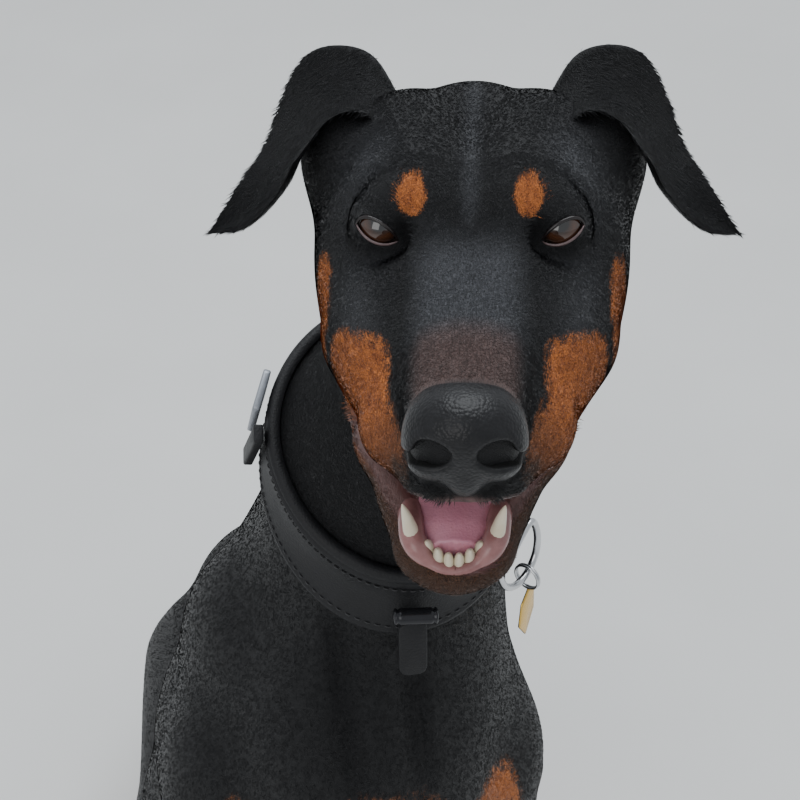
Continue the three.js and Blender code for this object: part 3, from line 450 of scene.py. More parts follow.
def draw(field, low, high, cell):
    """Vertices and quads of the field's zero surface inside a box."""
    values, origin = sample(field, low, high, cell)
    inside = values < 0
    nx, ny, nz = values.shape
    total = np.zeros((nx - 1, ny - 1, nz - 1, 3))
    count = np.zeros((nx - 1, ny - 1, nz - 1))

    def corner(array, c):
        return array[c[0]:nx - 1 + c[0], c[1]:ny - 1 + c[1], c[2]:nz - 1 + c[2]]
    for axis in range(3):
        others = [n for n in range(3) if n != axis]
        for i in (0, 1):
            for j in (0, 1):
                a = np.zeros(3, int)
                a[others[0]], a[others[1]] = i, j
                b = a.copy()
                b[axis] = 1
                va, vb = corner(values, a), corner(values, b)
                crossed = (va < 0) != (vb < 0)
                t = np.where(crossed, va / np.where(crossed, va - vb, 1.0), 0.0)
                place = a + (b - a) * t[..., None]
                total += np.where(crossed[..., None], place, 0.0)
                count += crossed
    active = count > 0
    number = np.full(active.shape, -1)
    number[active] = np.arange(active.sum())
    cells = np.stack(np.nonzero(active), -1)
    start = origin + (cells + total[active] / count[active][:, None]) * cell
    quads = []
    for axis in range(3):
        p, q = (axis + 1) % 3, (axis + 2) % 3
        ahead = np.roll(inside, -1, axis)
        crossed = inside != ahead
        crossed[(slice(None),) * axis + (-1,)] = False
        for n in (p, q):
            crossed[(slice(None),) * n + (0,)] = False
            crossed[(slice(None),) * n + (-1,)] = False
        at = np.stack(np.nonzero(crossed), -1)
        unit = np.eye(3, dtype=int)
        ring = [at, at - unit[p], at - unit[p] - unit[q], at - unit[q]]
        ids = np.stack([number[tuple(r.T)] for r in ring], -1)
        flip = inside[tuple(at.T)]
        ids[~flip] = ids[~flip][:, ::-1]
        quads.append(ids)
    quads = np.concatenate(quads)
    return settle(field, start, cell), quads


def settle(field, start, cell, rounds=3):
    """Newton steps down the slope, held within half a cell of the start."""
    p = start.copy()
    for _ in range(rounds):
        d, slope = slope_of(field, p)
        steep = np.maximum((slope * slope).sum(-1), 0.2)
        p = np.clip(p - slope * (d / steep)[:, None], start - cell * 0.6, start + cell * 0.6)
    return p


def relax(field, p, quads, rounds, cell):
    """Evens out the mesh: each vertex moves half way to its neighbours' mean and back on the surface."""
    a = quads.ravel()
    b = np.roll(quads, 1, axis=1).ravel()
    c = np.roll(quads, -1, axis=1).ravel()
    weight = np.bincount(a, minlength=len(p)) * 2.0
    for _ in range(rounds):
        mean = np.stack([np.bincount(a, p[b, n] + p[c, n], len(p)) for n in range(3)], -1) / weight[:, None]
        p = settle(field, p + (mean - p) * 0.5, cell, 1)
    return p


# %% Making mesh objects
def make_object(name, points_mm, faces, material, smooth=True):
    """A mesh object at the origin from body places in millimetres; mirrored faces are turned round."""
    mesh = bpy.data.meshes.new(name)
    faces = np.asarray(faces)
    points = to_world(points_mm)
    sides = faces.shape[1]
    mesh.vertices.add(len(points))
    mesh.vertices.foreach_set("co", points.ravel())
    mesh.loops.add(faces.size)
    mesh.loops.foreach_set("vertex_index", faces.ravel())
    mesh.polygons.add(len(faces))
    mesh.polygons.foreach_set("loop_start", np.arange(0, faces.size, sides))
    mesh.polygons.foreach_set("use_smooth", np.full(len(faces), smooth))
    mesh.update(calc_edges=True)
    mesh.validate()
    mesh.materials.append(material)
    piece = bpy.data.objects.new(name, mesh)
    bpy.context.scene.collection.objects.link(piece)
    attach(piece, "root")
    print(f"{name}: {len(faces)} faces")
    return piece


def paint(piece, **values):
    """Stores one number for each vertex under each name."""
    for name, numbers in values.items():
        attribute = piece.data.attributes.new(name, "FLOAT", "POINT")
        attribute.data.foreach_set("value", np.asarray(numbers, np.float32))


# %% Shader maths
class Number:
    """A shader value that takes part in Python arithmetic: each operator adds one Math node."""

    def __init__(self, kit, socket):
        self.kit, self.socket = kit, socket

    def math(self, operation, *others, clamp=False):
        inputs = {n: value for n, value in enumerate(others)}
        return self.kit.node("Math", {"operation": operation, "use_clamp": clamp}, inputs)

    def __add__(self, other):
        return self.math("ADD", self, other)

    def __mul__(self, other):
        return self.math("MULTIPLY", self, other)

    def __sub__(self, other):
        return self.math("SUBTRACT", self, other)

    def __rsub__(self, other):
        return self.math("SUBTRACT", other, self)

    __radd__, __rmul__ = __add__, __mul__

    def clamp(self):
        return self.math("ADD", self, 0.0, clamp=True)


class Kit:
    """A material's nodes, all made by one method."""

    def __init__(self, name, **constants):
        self.material = bpy.data.materials.new(name)
        self.material.use_nodes = True
        self.tree = self.material.node_tree
        self.shader = self.tree.nodes["Principled BSDF"]
        for socket, value in constants.items():
            self.shader.inputs[socket.replace("_", " ")].default_value = value

    def plug(self, node, inputs):
        for key, value in inputs.items():
            if isinstance(value, Number):
                self.tree.links.new(value.socket, node.inputs[key])
            else:
                node.inputs[key].default_value = value

    def node(self, kind, settings=None, inputs=None, output=0):
        """Adds a node, sets it up, fills its sockets and gives one of its outputs."""
        node = self.tree.nodes.new("ShaderNode" + kind)
        for name, value in (settings or {}).items():
            if name == "stops":
                ramp = node.color_ramp.elements
                while len(ramp) < len(value):
                    ramp.new(0.5)
                for stop, (place, color) in zip(ramp, value):
                    stop.position, stop.color = place, color
            else:
                setattr(node, name, value)
        self.plug(node, inputs or {})
        return Number(self, node.outputs[output])

    def feed(self, **inputs):
        self.plug(self.shader, {name.replace("_", " "): value for name, value in inputs.items()})
        return self.material

    def attribute(self, name):
        return self.node("Attribute", {"attribute_name": name}, output="Fac")

    def place(self):
        return self.node("TexCoord", output="Object")

    def noise(self, vector, scale, detail=3.0, roughness=0.55):
        inputs = {"Vector": vector, "Scale": scale, "Detail": detail, "Roughness": roughness}
        return self.node("TexNoise", inputs=inputs)

    def stretched(self, vector, scale):
        return self.node("Mapping", inputs={"Vector": vector, "Scale": scale})

    def mix(self, factor, a, b):
        """A colour between a and b."""
        return self.node("Mix", {"data_type": "RGBA"}, {"Factor": factor, 6: a, 7: b}, output=2)

    def ramp(self, value, stops):
        return self.node("ValToRGB", {"stops": stops}, {"Fac": value})

    def bump(self, height, distance, strength):
        return self.node("Bump", inputs={"Height": height, "Distance": distance, "Strength": strength})


def rgb(red, green, blue):
    return (red, green, blue, 1.0)


# %% Floor, light and world
floor_kit = Kit("pale_floor", Roughness=0.75)
floor_kit.feed(Base_Color=floor_kit.ramp(
    floor_kit.noise(floor_kit.place(), 3.0), [(0.35, rgb(0.70, 0.70, 0.69)), (0.7, rgb(0.74, 0.74, 0.73))]))
bpy.ops.mesh.primitive_plane_add(size=30.0, location=(0, 0, 0))
floor = bpy.context.object
floor.name = "floor"
floor.data.materials.append(floor_kit.material)
floor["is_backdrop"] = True

world = bpy.data.worlds.new("soft sky")
world.use_nodes = True
world.node_tree.nodes["Background"].inputs["Color"].default_value = rgb(0.92, 0.96, 1.0)
world.node_tree.nodes["Background"].inputs["Strength"].default_value = 0.75
bpy.context.scene.world = world


def add_light(name, place, target, size, power, color):
    """A square area light that looks at a target; places in metres."""
    data = bpy.data.lights.new(name, "AREA")
    data.energy, data.size, data.color = power, size, color
    light = bpy.data.objects.new(name, data)
    light.location = place
    light.rotation_euler = (Vector(target) - Vector(place)).to_track_quat("-Z", "Y").to_euler()
    bpy.context.scene.collection.objects.link(light)


HEAD_WORLD = to_world(HEAD_AT)
add_light("sky_top", (0.3, 0.4, 3.2), HEAD_WORLD, 2.4, 75.0, (0.93, 0.97, 1.0))
add_light("fill_front", (-1.8, -2.6, 2.0), HEAD_WORLD, 1.8, 22.0, (1.0, 0.98, 0.95))
print("floor, sky and two lights")

# %% [markdown]
# ## The skin
# The skin is one surface. It is finer on the head, so it is drawn in two parts that meet underneath the
# collar, where neither edge can be seen.

# %% The skin's two parts
HEAD_CELL, BODY_CELL = ((1.35, 4.0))
COAT_DEPTH, FACE_DEPTH = 2.0, 0.6


def above_collar(p):
    """Signed distance above the collar's middle plane."""
    return (p - NECK_AT_COLLAR) @ LOOP_ACROSS


def chest_strip(p, d):
    """A raised strip of muscle down the front of the chest, with a shallow groove on each side."""
    s, u = p[..., 0] - 5, p[..., 2]
    fade = rise(u, 500, 545) * rise(-u, -640, -600) * (p[..., 1] > 120)
    wave = np.exp(-(s / 11) ** 2) * 2.4 - np.exp(-((np.abs(s) - 20) / 6) ** 2) * 3.4
    return d - wave * fade


def rise(x, low, high):
    """A smooth step from 0 at low to 1 at high: t t (3 - 2 t)."""
    t = np.clip((x - low) / (high - low), 0.0, 1.0)
    return t * t * (3 - 2 * t)


def head_skin(p):
    """The head and neck, ending just below the collar's middle."""
    d = blend(trunk(p) + COAT_DEPTH, whole_head(to_head(p), FACE_DEPTH), 26)
    return np.maximum(d, -above_collar(p) - 6.0)


def body_skin(p):
    """The rest, ending just above the collar's middle and flat on the floor."""
    d = chest_strip(p, trunk(p))
    for leg in LEGS:
        d = blend(d, leg(p), 24)
    d = blend(d, tail(p), 20) + COAT_DEPTH
    return np.maximum(np.maximum(d, above_collar(p) - 6.0), -p[..., 2])


def skin_mesh(field, low, high, cell):
    points, quads = draw(field, low, high, cell)
    return relax(field, points, quads, 2, cell), quads[:, ::-1]


head_points, head_quads = skin_mesh(head_skin, [-75, 20, 600], [150, 400, 960], HEAD_CELL)
body_points, body_quads = skin_mesh(body_skin, [-215, -620, -6], [215, 300, 830], BODY_CELL)
print("skin vertices:", len(head_points), len(body_points))

# %% [markdown]
# ## Markings and the lie of the coat
# The black coat has rust spots over the eyes, rust along the cheeks and the sides of the muzzle, two patches
# on the chest and rust feet, and a painted sheen, a lighter grey over the black on the muzzle top, the middle
# of the forehead, the temples and the cheeks. Each marking is a soft-edged region of the body's own
# coordinates, so the skin and every tuft on it take the same values. The lie is a place turned so that x runs
# along the hairs.


# %% Regions of colour
def markings(p):
    """Rust, pale thin hair, lip, mouth, umber and painted sheen amounts, each from 0 to 1."""
    q = to_head(p)
    s, f, u = np.abs(q[..., 0]), q[..., 1], q[..., 2]
    side, forward, up = np.abs(p[..., 0]), p[..., 1], p[..., 2]
    on_head = rise(f + 0.4 * u, -75, -60) * rise(up, 740, 780)
    head_only = rise(up, 760, 800)
    brow = rise(-np.hypot((s - 23) / 5.2, (u - 15) / 5.6), -1.35, -0.75) * rise(f, -16, -8)
    inner = 30 - 8 * rise(f, 74, 100)
    top = -25 - 0.35 * np.maximum(48 - f, 0) - 0.45 * np.maximum(f - 62, 0)
    muzzle = rise(s, inner - 4, inner + 4) * rise(-u, -top - 5, -top + 5) * rise(f, 22, 34)
    strip = rise(s, 55, 60) * rise(f, -24, -12) * rise(-f, -26, -14) * rise(-u, 14, 24) * rise(u, -66, -50)
    jaw = rise(-u, 62, 72) * rise(f, -10, 20) * 0.75
    rust = np.maximum.reduce([brow, muzzle, strip, jaw]) * on_head
    patch = rise(-np.hypot((side - 70) / 24, (up - 430) / 56), -1.2, -0.7) * rise(forward, 120, 160)
    middle = 0.3 * rise(-np.hypot(side / 44, (up - 492) / 34), -1.2, -0.6) * rise(forward, 190, 215)
    fore = rise(-up, -205, -150) * (forward > 100) * (side > 20)
    hind = rise(-up, -96, -62) * (side > 84) * (forward < 120) * rise(forward, -215, -195)
    inner_thigh = rise(-side, -92, -80) * rise(-up, -190, -150) * (forward < 60) * (side > 40)
    inner_thigh = inner_thigh * rise(forward, -150, -110)
    under_tail = rise(-np.hypot(side / 26, (up - 50) / 26), -1.2, -0.7) * (forward < -250)
    under_tail = under_tail * rise(forward, -330, -300)
    rust = np.maximum.reduce([rust, patch, middle, fore, hind, inner_thigh, under_tail])
    thin = rise(-s, -23, -15) * rise(f, 58, 76) * rise(u, -30, -22) * rise(-f, -106, -98) * on_head
    gap = mouth_gap(q)
    low_lip = rise(-gap, -6.5, -3.0) * (u < -72) * rise(f, 0, 20)
    lip = np.maximum(low_lip, rise(-gap, -4.5, -2.0) * 0.7) * rise(f, 4, 22) * on_head
    inside = rise(-gap, -1.2, 0.0) * rise(-s, -30, -22) * on_head
    trough = rise(-jaw_trough(q), -2.5, -0.5) * on_head * (u < -80)
    umber = np.maximum.reduce([rise(-u, 74, 88) * rise(f, 20, 50), rise(f, 86, 100) * rise(-u, 40, 52),
                               0.6 * rise(f, 70, 100)]) * on_head
    # Painted sheen: lighter grey on the muzzle top, a stripe down the forehead, the temples and the cheeks.
    bridge = rise(f, 4, 26) * rise(-s, -27, -12) * rise(-f, -84, -60)
    stripe = 0.55 * np.exp(-(s / 4) ** 2) * rise(-f, -20, 5)
    temple = 0.6 * np.exp(-((s - 44) / 11) ** 2 - ((f + 34) / 22) ** 2)
    cheek = 0.6 * np.exp(-((s - 44) / 9) ** 2 - ((u + 24) / 13) ** 2)
    grey = np.maximum.reduce([bridge, stripe, temple, cheek]) * head_only
    return {"rust": rust, "thin": thin, "lip": lip, "mouth": np.maximum(inside, trough), "umber": umber,
            "grey": grey}


def lie(p):
    """On the head x runs back from the nose, and on the body down and back."""
    q = to_head(p)
    on_head = rise(above_collar(p), 60, 130)[..., None]
    down = np.array([0.0, -0.42, -0.91])
    level = np.array([0.0, 0.91, -0.42])
    body_lie = np.stack([p @ down, p[..., 0], p @ level], -1)
    return q[..., [1, 0, 2]] * on_head + body_lie * (1 - on_head)


def dress(piece, p):
    """Stores the markings and the lie, in centimetres, on a piece."""
    paint(piece, **markings(p))
    attribute = piece.data.attributes.new("lie", "FLOAT_VECTOR", "POINT")
    attribute.data.foreach_set("vector", (lie(p) * 0.1).astype(np.float32).ravel())


# %% Coat material
def coat_kit(name, hair):
    """Black and rust coat. The hair sets how deep the bump of single hairs is."""
    kit = Kit(name)
    flow = kit.node("Attribute", {"attribute_name": "lie"}, output="Vector")
    streaks = kit.noise(kit.stretched(flow, (1.6, 22.0, 22.0)), 1.0, 4.0, 0.6)
    clumps = kit.noise(kit.stretched(flow, (0.5, 3.2, 3.2)), 1.0, 3.0)
    folds = kit.noise(kit.stretched(flow, (0.35, 0.9, 0.9)), 1.0, 2.0)
    edge = (streaks - 0.5) * 2.2 + (clumps - 0.5) * 1.6
    rust = kit.attribute("rust")
    rust = ((rust + edge * (rust * (1 - rust)) * 4.0 - 0.5) * 1.6 + 0.5).clamp()
    hair_tone = ((streaks - 0.5) * 2.6 + 0.5).clamp()
    black = kit.mix(hair_tone, rgb(0.0012, 0.0012, 0.0015), rgb(0.008, 0.008, 0.0095))
    # Painted sheen: a light bluish grey mixed into the black hair where the sheen amount is high.
    black = kit.mix((kit.attribute("grey") * (hair_tone + 0.15)).clamp(), black, rgb(0.085, 0.088, 0.098))
    tan_tone = (hair_tone + (clumps - 0.5) * 1.2).clamp()
    tan = kit.mix(tan_tone, rgb(0.13, 0.026, 0.006), rgb(0.66, 0.21, 0.050))
    brown = kit.mix(hair_tone, rgb(0.020, 0.011, 0.008), rgb(0.16, 0.075, 0.042))
    tan = kit.mix((kit.attribute("umber") * (clumps + 0.5)).clamp(), tan, brown)
    color = kit.mix(rust, black, tan)
    thin = (kit.attribute("thin") * ((streaks - 0.5) * 2.0 + 0.5 + clumps * 0.4)).clamp()
    color = kit.mix(thin * 0.75, color, rgb(0.16, 0.10, 0.09))
    lip = (kit.attribute("lip") * (clumps * 0.8 + 0.65)).clamp()
    color = kit.mix(lip, color, kit.mix(clumps, rgb(0.045, 0.024, 0.022), rgb(0.23, 0.125, 0.115)))
    mouth = kit.attribute("mouth")
    color = kit.mix(mouth, color, rgb(0.085, 0.030, 0.030))
    wet = (lip * 0.6 + mouth).clamp()
    height = streaks * (1.0 - wet) * hair + clumps * 0.4 * hair + folds * 0.5
    kit.feed(Base_Color=color, Roughness=(clumps * 0.16 + 0.36) - wet * 0.16,
             Normal=kit.bump(height, 0.0014, 1.0))
    kit.shader.inputs["Specular IOR Level"].default_value = 0.36
    return kit.material


coat = coat_kit("coat", 1.0)
head_piece = make_object("head_and_neck_skin", head_points, head_quads, coat)
dress(head_piece, head_points)
body_piece = make_object("body_skin", body_points, body_quads, coat)
dress(body_piece, body_points)
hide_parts("head", "lower_jaw", "neck")
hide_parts("torso", "foreleg_left", "foreleg_right", "hindleg_left", "hindleg_right", "tail")

# %% [markdown]
# ## Swept shapes
# Ears, lids, teeth, claws, the collar and its fittings are rings of points swept along a path, with one
# parameter round the ring and one along the path, closed at the ends by small rings.


# %% Sweeps
def curve(places, t):
    """A centripetal Catmull-Rom curve through places, at t from 0 to 1, in equal steps of its parameter."""
    p = np.asarray(places, float)
    knots = np.concatenate([[0], np.cumsum(np.linalg.norm(np.diff(p, axis=0), axis=1) ** 0.5)])
    slope = np.gradient(p, knots, axis=0)
    x = np.interp(t, np.linspace(0, 1, len(p)), knots)
    i = np.clip(np.searchsorted(knots, x, side="right") - 1, 0, len(p) - 2)
    h = (knots[i + 1] - knots[i])[:, None]
    u = (x - knots[i])[:, None] / h
    u2, u3 = u * u, u * u * u
    return ((2 * u3 - 3 * u2 + 1) * p[i] + (u3 - 2 * u2 + u) * slope[i] * h
            + (3 * u2 - 2 * u3) * p[i + 1] + (u3 - u2) * slope[i + 1] * h)


def unit(v):
    return v / (np.linalg.norm(v, axis=-1, keepdims=True) + 1e-12)


def frames(path, start_up, closed=False):
    """Two directions square to a path at each of its points, the first as near start_up as can be."""
    if closed:
        tangent = unit(np.roll(path, -1, 0) - np.roll(path, 1, 0))
    else:
        tangent = unit(np.gradient(path, axis=0))
    up = np.broadcast_to(np.asarray(start_up, float), path.shape)
    first = unit(up - tangent * (up * tangent).sum(-1, keepdims=True))
    return first, np.cross(tangent, first)


def ring_faces(rings, sides, closed):
    """Quads between rings of points, with a fan of quads left to caps."""
    r = np.arange(rings if closed else rings - 1)[:, None]
    n = np.arange(sides)[None, :]
    a, b = r * sides + n, r * sides + (n + 1) % sides
    nr = (r + 1) % rings
    return np.stack([a, b, nr * sides + (n + 1) % sides, nr * sides + n], -1).reshape(-1, 4)


def outward(points, faces):
    """The faces turned, where they must be, so that the closed surface has a positive volume."""
    a, b, c = (points[faces[:, n]] for n in range(3))
    return points, faces[:, ::-1] if (np.cross(b, c) * a).sum() < 0 else faces


def shell(rings, closed=False):
    """Points and triangles of a closed surface over rings of points, an array of rings x sides x 3."""
    count, sides = rings.shape[:2]
    quads = ring_faces(count, sides, closed)
    faces = np.concatenate([quads[:, [0, 1, 2]], quads[:, [0, 2, 3]]])
    points = rings.reshape(-1, 3)
    if not closed:
        ends = [rings[0].mean(0), rings[-1].mean(0)]
        n = np.arange(sides)
        first = np.stack([np.full(sides, len(points)), (n + 1) % sides, n], -1)
        last = np.stack([np.full(sides, len(points) + 1), (count - 1) * sides + n,
                         (count - 1) * sides + (n + 1) % sides], -1)
        points = np.concatenate([points, ends])
        faces = np.concatenate([faces, first, last])
    return outward(points, faces)


def tube(path, radius, start_up, sides=12, closed=False, squash=1.0):
    """A round tube along a path; the radius may vary along it, and squash flattens it across."""
    path = np.asarray(path, float)
    first, second = frames(path, start_up, closed)
    angle = np.linspace(0, 2 * np.pi, sides, endpoint=False)
    radius = np.broadcast_to(np.asarray(radius, float), (len(path),))[:, None, None]
    round_ = first[:, None] * np.cos(angle)[:, None] + second[:, None] * np.sin(angle)[:, None] * squash
    return shell(path[:, None] + round_ * radius, closed)


def gather(*shells):
    """Several point and face lists as one."""
    points, faces, base = [], [], 0
    for p, f in shells:
        points.append(p)
        faces.append(f + base)
        base += len(p)
    return np.concatenate(points), np.concatenate(faces)


def add(name, shape, material, slot, *nodes):
    """Adds a piece given in body places, which stands for the named nodes."""
    points, faces = shape
    piece = make_object(name, points, faces[:, ::-1], material)
    if nodes:
        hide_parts(*nodes)
    return piece


def in_head(shape):
    points, faces = shape
    return from_head(points), faces


# %% Ears
EAR_FRONT = [[30, -70, 4], [48, -64, 27], [62, -60, 25], [74, -47, 12],
             [82, -40, 1], [99, -49, -21], [114, -55, -27]]
EAR_BACK = [[28, -98, 8], [47, -104, 41], [70, -98, 44], [85, -92, 25],
            [94, -81, 3], [105, -68, -12], [116, -57, -22]]
EAR_ARCH, EAR_THICK, EAR_ROOT_THICK = 8.0, 3.0, 9.0
EAR_STEPS, EAR_SIDES = 56, 40


def ear(sideways):
    """An arched leaf between two edge curves: rise = 4 u (1 - u) arch, thinned to its rims and tip."""
    v = np.linspace(0, 1, EAR_STEPS)
    front = curve(np.array(EAR_FRONT) * [sideways, 1, 1], v)
    back = curve(np.array(EAR_BACK) * [sideways, 1, 1], v)
    taper = np.sqrt(1 - 0.97 * np.clip((v - 0.84) / 0.16, 0, 1) ** 2)[:, None]
    across = (back - front) * taper
    front = (front + back - across) / 2
    along = unit(np.gradient(front, axis=0) + np.gradient(back, axis=0))
    out = unit(np.cross(along, across)) * sideways
    angle = np.linspace(0, 2 * np.pi, EAR_SIDES, endpoint=False)
    u = 0.5 - 0.5 * np.cos(angle)
    arch = EAR_ARCH * np.sin(np.pi * np.minimum(1, v * 0.8 + 0.12))
    back_wave, front_wave = 1.1 * np.sin(v * 14)[:, None], 0.8 * np.sin(v * 19 + 1)[:, None]
    ripple = back_wave * u[None, :] ** 3 + front_wave * (1 - u)[None, :] ** 3
    width = EAR_THICK * (1 - 0.45 * v) + EAR_ROOT_THICK * np.exp(-(v / 0.13) ** 2)
    thick = width[:, None] * np.sin(angle)[None, :] / 2
    lift = 4 * (u * (1 - u))[None, :] * arch[:, None] + thick + ripple * rise(v, 0.2, 0.5)[:, None]
    rings = front[:, None] + across[:, None] * u[None, :, None] + out[:, None] * lift[..., None]
    return shell(rings)


for sideways, side_name in ((1, "left"), (-1, "right")):
    points, faces = in_head(ear(sideways))
    piece = add(f"ear_{side_name}_fine", (points, faces), coat, "coat", f"ear_{side_name}")
    dress(piece, points)

# %% [markdown]
# ## Eyes
# Each eyeball is a ball with a brown iris round a small pupil. The lids are part of the skin, and each has
# a wet rim: nearly black above, greyish pink below.

# %% Eyeballs and lid rims
GAZE = unit(np.array([0.02, 1.0, 0.42]))
eye_kit = Kit("eye", Roughness=0.06)
off_axis = eye_kit.attribute("off_axis")
spokes = eye_kit.noise(eye_kit.stretched(eye_kit.place(), (900.0, 900.0, 900.0)), 1.0, 2.0)
iris = eye_kit.ramp(off_axis * 0.1 + (spokes - 0.5) * 0.03, [
    (0.0, rgb(0.002, 0.0015, 0.001)), (0.29, rgb(0.003, 0.002, 0.0015)), (0.34, rgb(0.020, 0.008, 0.004)),
    (0.55, rgb(0.060, 0.022, 0.009)), (0.72, rgb(0.030, 0.011, 0.005)), (0.80, rgb(0.005, 0.003, 0.002)),
    (0.92, rgb(0.03, 0.022, 0.02))])
eye_kit.feed(Base_Color=iris)
eye_kit.shader.inputs["Coat Weight"].default_value = 1.0
eye_kit.shader.inputs["Coat Roughness"].default_value = 0.02
upper_rim = Kit("upper_lid_rim", Roughness=0.25)
upper_rim.feed(Base_Color=upper_rim.mix(upper_rim.noise(upper_rim.place(), 700.0), rgb(0.004, 0.003, 0.003),
                                        rgb(0.02, 0.014, 0.014)))
lower_rim = Kit("lower_lid_rim", Roughness=0.22)
lower_rim.feed(Base_Color=lower_rim.mix(lower_rim.noise(lower_rim.place(), 500.0), rgb(0.040, 0.026, 0.028),
                                        rgb(0.17, 0.11, 0.11)))


def eyeball(sideways):
    """Rings round the gaze: the radius swells a little over the cornea, exp(-(a / 0.6)^2)."""
    gaze = GAZE * [sideways, 1, 1]
    angles = np.linspace(0.0, np.pi, 48)[1:-1]
    turn_ = np.linspace(0, 2 * np.pi, 48, endpoint=False)
    first = unit(np.cross(gaze, [0, 0, 1.0]))
    second = np.cross(gaze, first)
    radius = EYE_RADIUS + 0.55 * np.exp(-(angles / 0.6) ** 2)
    ring = first * np.cos(turn_)[:, None] + second * np.sin(turn_)[:, None]
    along, out = np.cos(angles)[:, None, None], np.sin(angles)[:, None, None]
    rings = (gaze * along + ring[None] * out) * radius[:, None, None]
    points, faces = shell(rings)
    off = np.linalg.norm(points - (points @ gaze)[:, None] * gaze, axis=1)
    off = np.where(points @ gaze < 0, 12.0, off)
    return (points + [PUPIL_SIDE * sideways, EYE_FORWARD, 0], faces), off


def lid_rim(sideways, upper):
    """A thin roll along one edge of the almond, lying on the lid's ball."""
    across = np.linspace(-1, 1, 40)
    x = across * LID_HALF_WIDTH
    height = LID_RISE if upper else LID_FALL
    radius = (LID_HALF_WIDTH ** 2 + height ** 2) / (2 * height)
    y = np.sqrt(np.maximum(radius ** 2 - x ** 2, 0)) - radius + height
    y = (y if upper else -y) + LID_SLANT * x
    z = np.sqrt(np.maximum((LID_RADIUS - 0.35) ** 2 - x * x - y * y, 1.0))
    side = x * math.cos(EYE_TURN) + z * math.sin(EYE_TURN)
    forward = -x * math.sin(EYE_TURN) + z * math.cos(EYE_TURN)
    path = np.stack([(side + PUPIL_SIDE) * sideways, forward + EYE_FORWARD, y], -1)
    thick = (0.85 if upper else 0.6) * (1 - 0.55 * across ** 4)
    return tube(path, thick, [0.3 * sideways, 1, 0.2], 10)


for sideways, side_name in ((1, "left"), (-1, "right")):
    ball, off = eyeball(sideways)
    piece = add(f"eyeball_{side_name}", in_head(ball), eye_kit.material, "eye", f"eye_{side_name}")
    paint(piece, off_axis=off)
    add(f"upper_lid_rim_{side_name}", in_head(lid_rim(sideways, True)), upper_rim.material, "coat")
    add(f"lower_lid_rim_{side_name}", in_head(lid_rim(sideways, False)), lower_rim.material, "coat")

# %% [markdown]
# ## Nose and mouth
# The nose leather and the tongue are drawn from fields like the skin's, and the gums and teeth are swept. The
# nostrils get painted shade, darkest at their depth, and everything on the jaw swings aside with it.

# %% Nose leather
NOSE_CELL = 0.75
nose_mass = paired(join(
    (mass([0, 105, -34], [21.5, 17, 18.5]), 5),
    (mass([12, 108, -38], [10.5, 13, 12.5]), 5),
    (mass([0, 112, -27], [13, 11, 11]), 6),
    (mass([8, 104, -29], [10, 13, 9.5]), 7),
    (mass([0, 107, -48], [9, 11, 11]), 5),
))
nostrils = paired(join(
    (mass([12, 120, -35], [6.2, 12, 5.2]), 2),
    (bar([14, 121, -36], 3.0, [24, 106, -43], 2.0), 2.5),
))
philtrum = paired(bar([-3, 124, -36], 1.6, [-3, 112, -57], 1.3))


def nose_leather(p):
    """The leather pad less its nostrils and the groove below, cut where it meets the muzzle."""
    d = carve(carve(nose_mass(p), nostrils(p), 2.5), philtrum(p), 2.0)
    return np.maximum(d, 94.0 + 0.16 * (p[..., 2] + 34) ** 2 / 10 - p[..., 1])


nose_kit = Kit("nose_leather", Specular_IOR_Level=0.3)
pebbles = nose_kit.node("TexVoronoi", inputs={"Vector": nose_kit.place(), "Scale": 780.0})
pores = nose_kit.noise(nose_kit.place(), 260.0)
leather_tone = nose_kit.mix(pores, rgb(0.003, 0.003, 0.0035), rgb(0.015, 0.015, 0.017))
# The deep amount paints shade into the nostrils, nearly black towards their depth, and makes them rougher.
nose_kit.feed(
    Base_Color=nose_kit.mix(nose_kit.attribute("deep"), leather_tone, rgb(0.0006, 0.0005, 0.0005)),
    Roughness=pores * 0.2 + 0.26 + nose_kit.attribute("deep") * 0.5,
    Normal=nose_kit.bump(pebbles * -1.0, 0.0006, 0.4))
points, quads = draw(nose_leather, [-27, 90, -60], [27, 130, -8], NOSE_CELL)
points = relax(nose_leather, points, quads, 2, NOSE_CELL)
nose_piece = add("nose_leather", (from_head(points), quads), nose_kit.material, "nose_skin", "nose")
# deep: the painted shade of the nostrils, rising from their rims to their depth.
paint(nose_piece, deep=rise(-nostrils(points), -2.2, -0.4) * rise(-nose_mass(points), 0.2, 1.8))

# %% Tongue, gums and teeth
def swing(shape):
    """Moves a shape of the jaw to the side with the jaw."""
    points, faces = shape
    return points - JAW_SWING * np.clip((points[:, 1:2] + 20) / 80, 0, 1) * [1, 0, 0], faces


tongue_slab = loft([[8, -86, -74, 14], [30, -90, -76, 19], [60, -96, -80, 19], [80, -100, -86, 15],
                    [89, -99, -91, 9]], 2.2)
tongue_groove = mass([0, 60, -77], [2.6, 60, 4.4])
tongue_kit = Kit("tongue", Roughness=0.3)
bumps = tongue_kit.noise(tongue_kit.place(), 900.0, 2.0)
blush = tongue_kit.noise(tongue_kit.place(), 90.0, 2.0)
tongue_kit.feed(
    Base_Color=tongue_kit.mix(blush, rgb(0.50, 0.17, 0.24), rgb(0.70, 0.34, 0.42)),
    Normal=tongue_kit.bump(bumps, 0.0006, 0.5))
tongue_kit.shader.inputs["Subsurface Weight"].default_value = 0.12
tongue_kit.shader.inputs["Subsurface Radius"].default_value = (0.004, 0.0015, 0.001)


def tongue_field(p):
    """The slab less the groove down its middle."""
    return carve(tongue_slab(p), tongue_groove(p), 3)


points, quads = draw(tongue_field, [-24, 4, -104], [24, 96, -70], 1.3)
points = relax(tongue_field, points, quads, 2, 1.3)
add("tongue_fine", in_head(swing((points, quads))), tongue_kit.material, "tongue", "tongue")

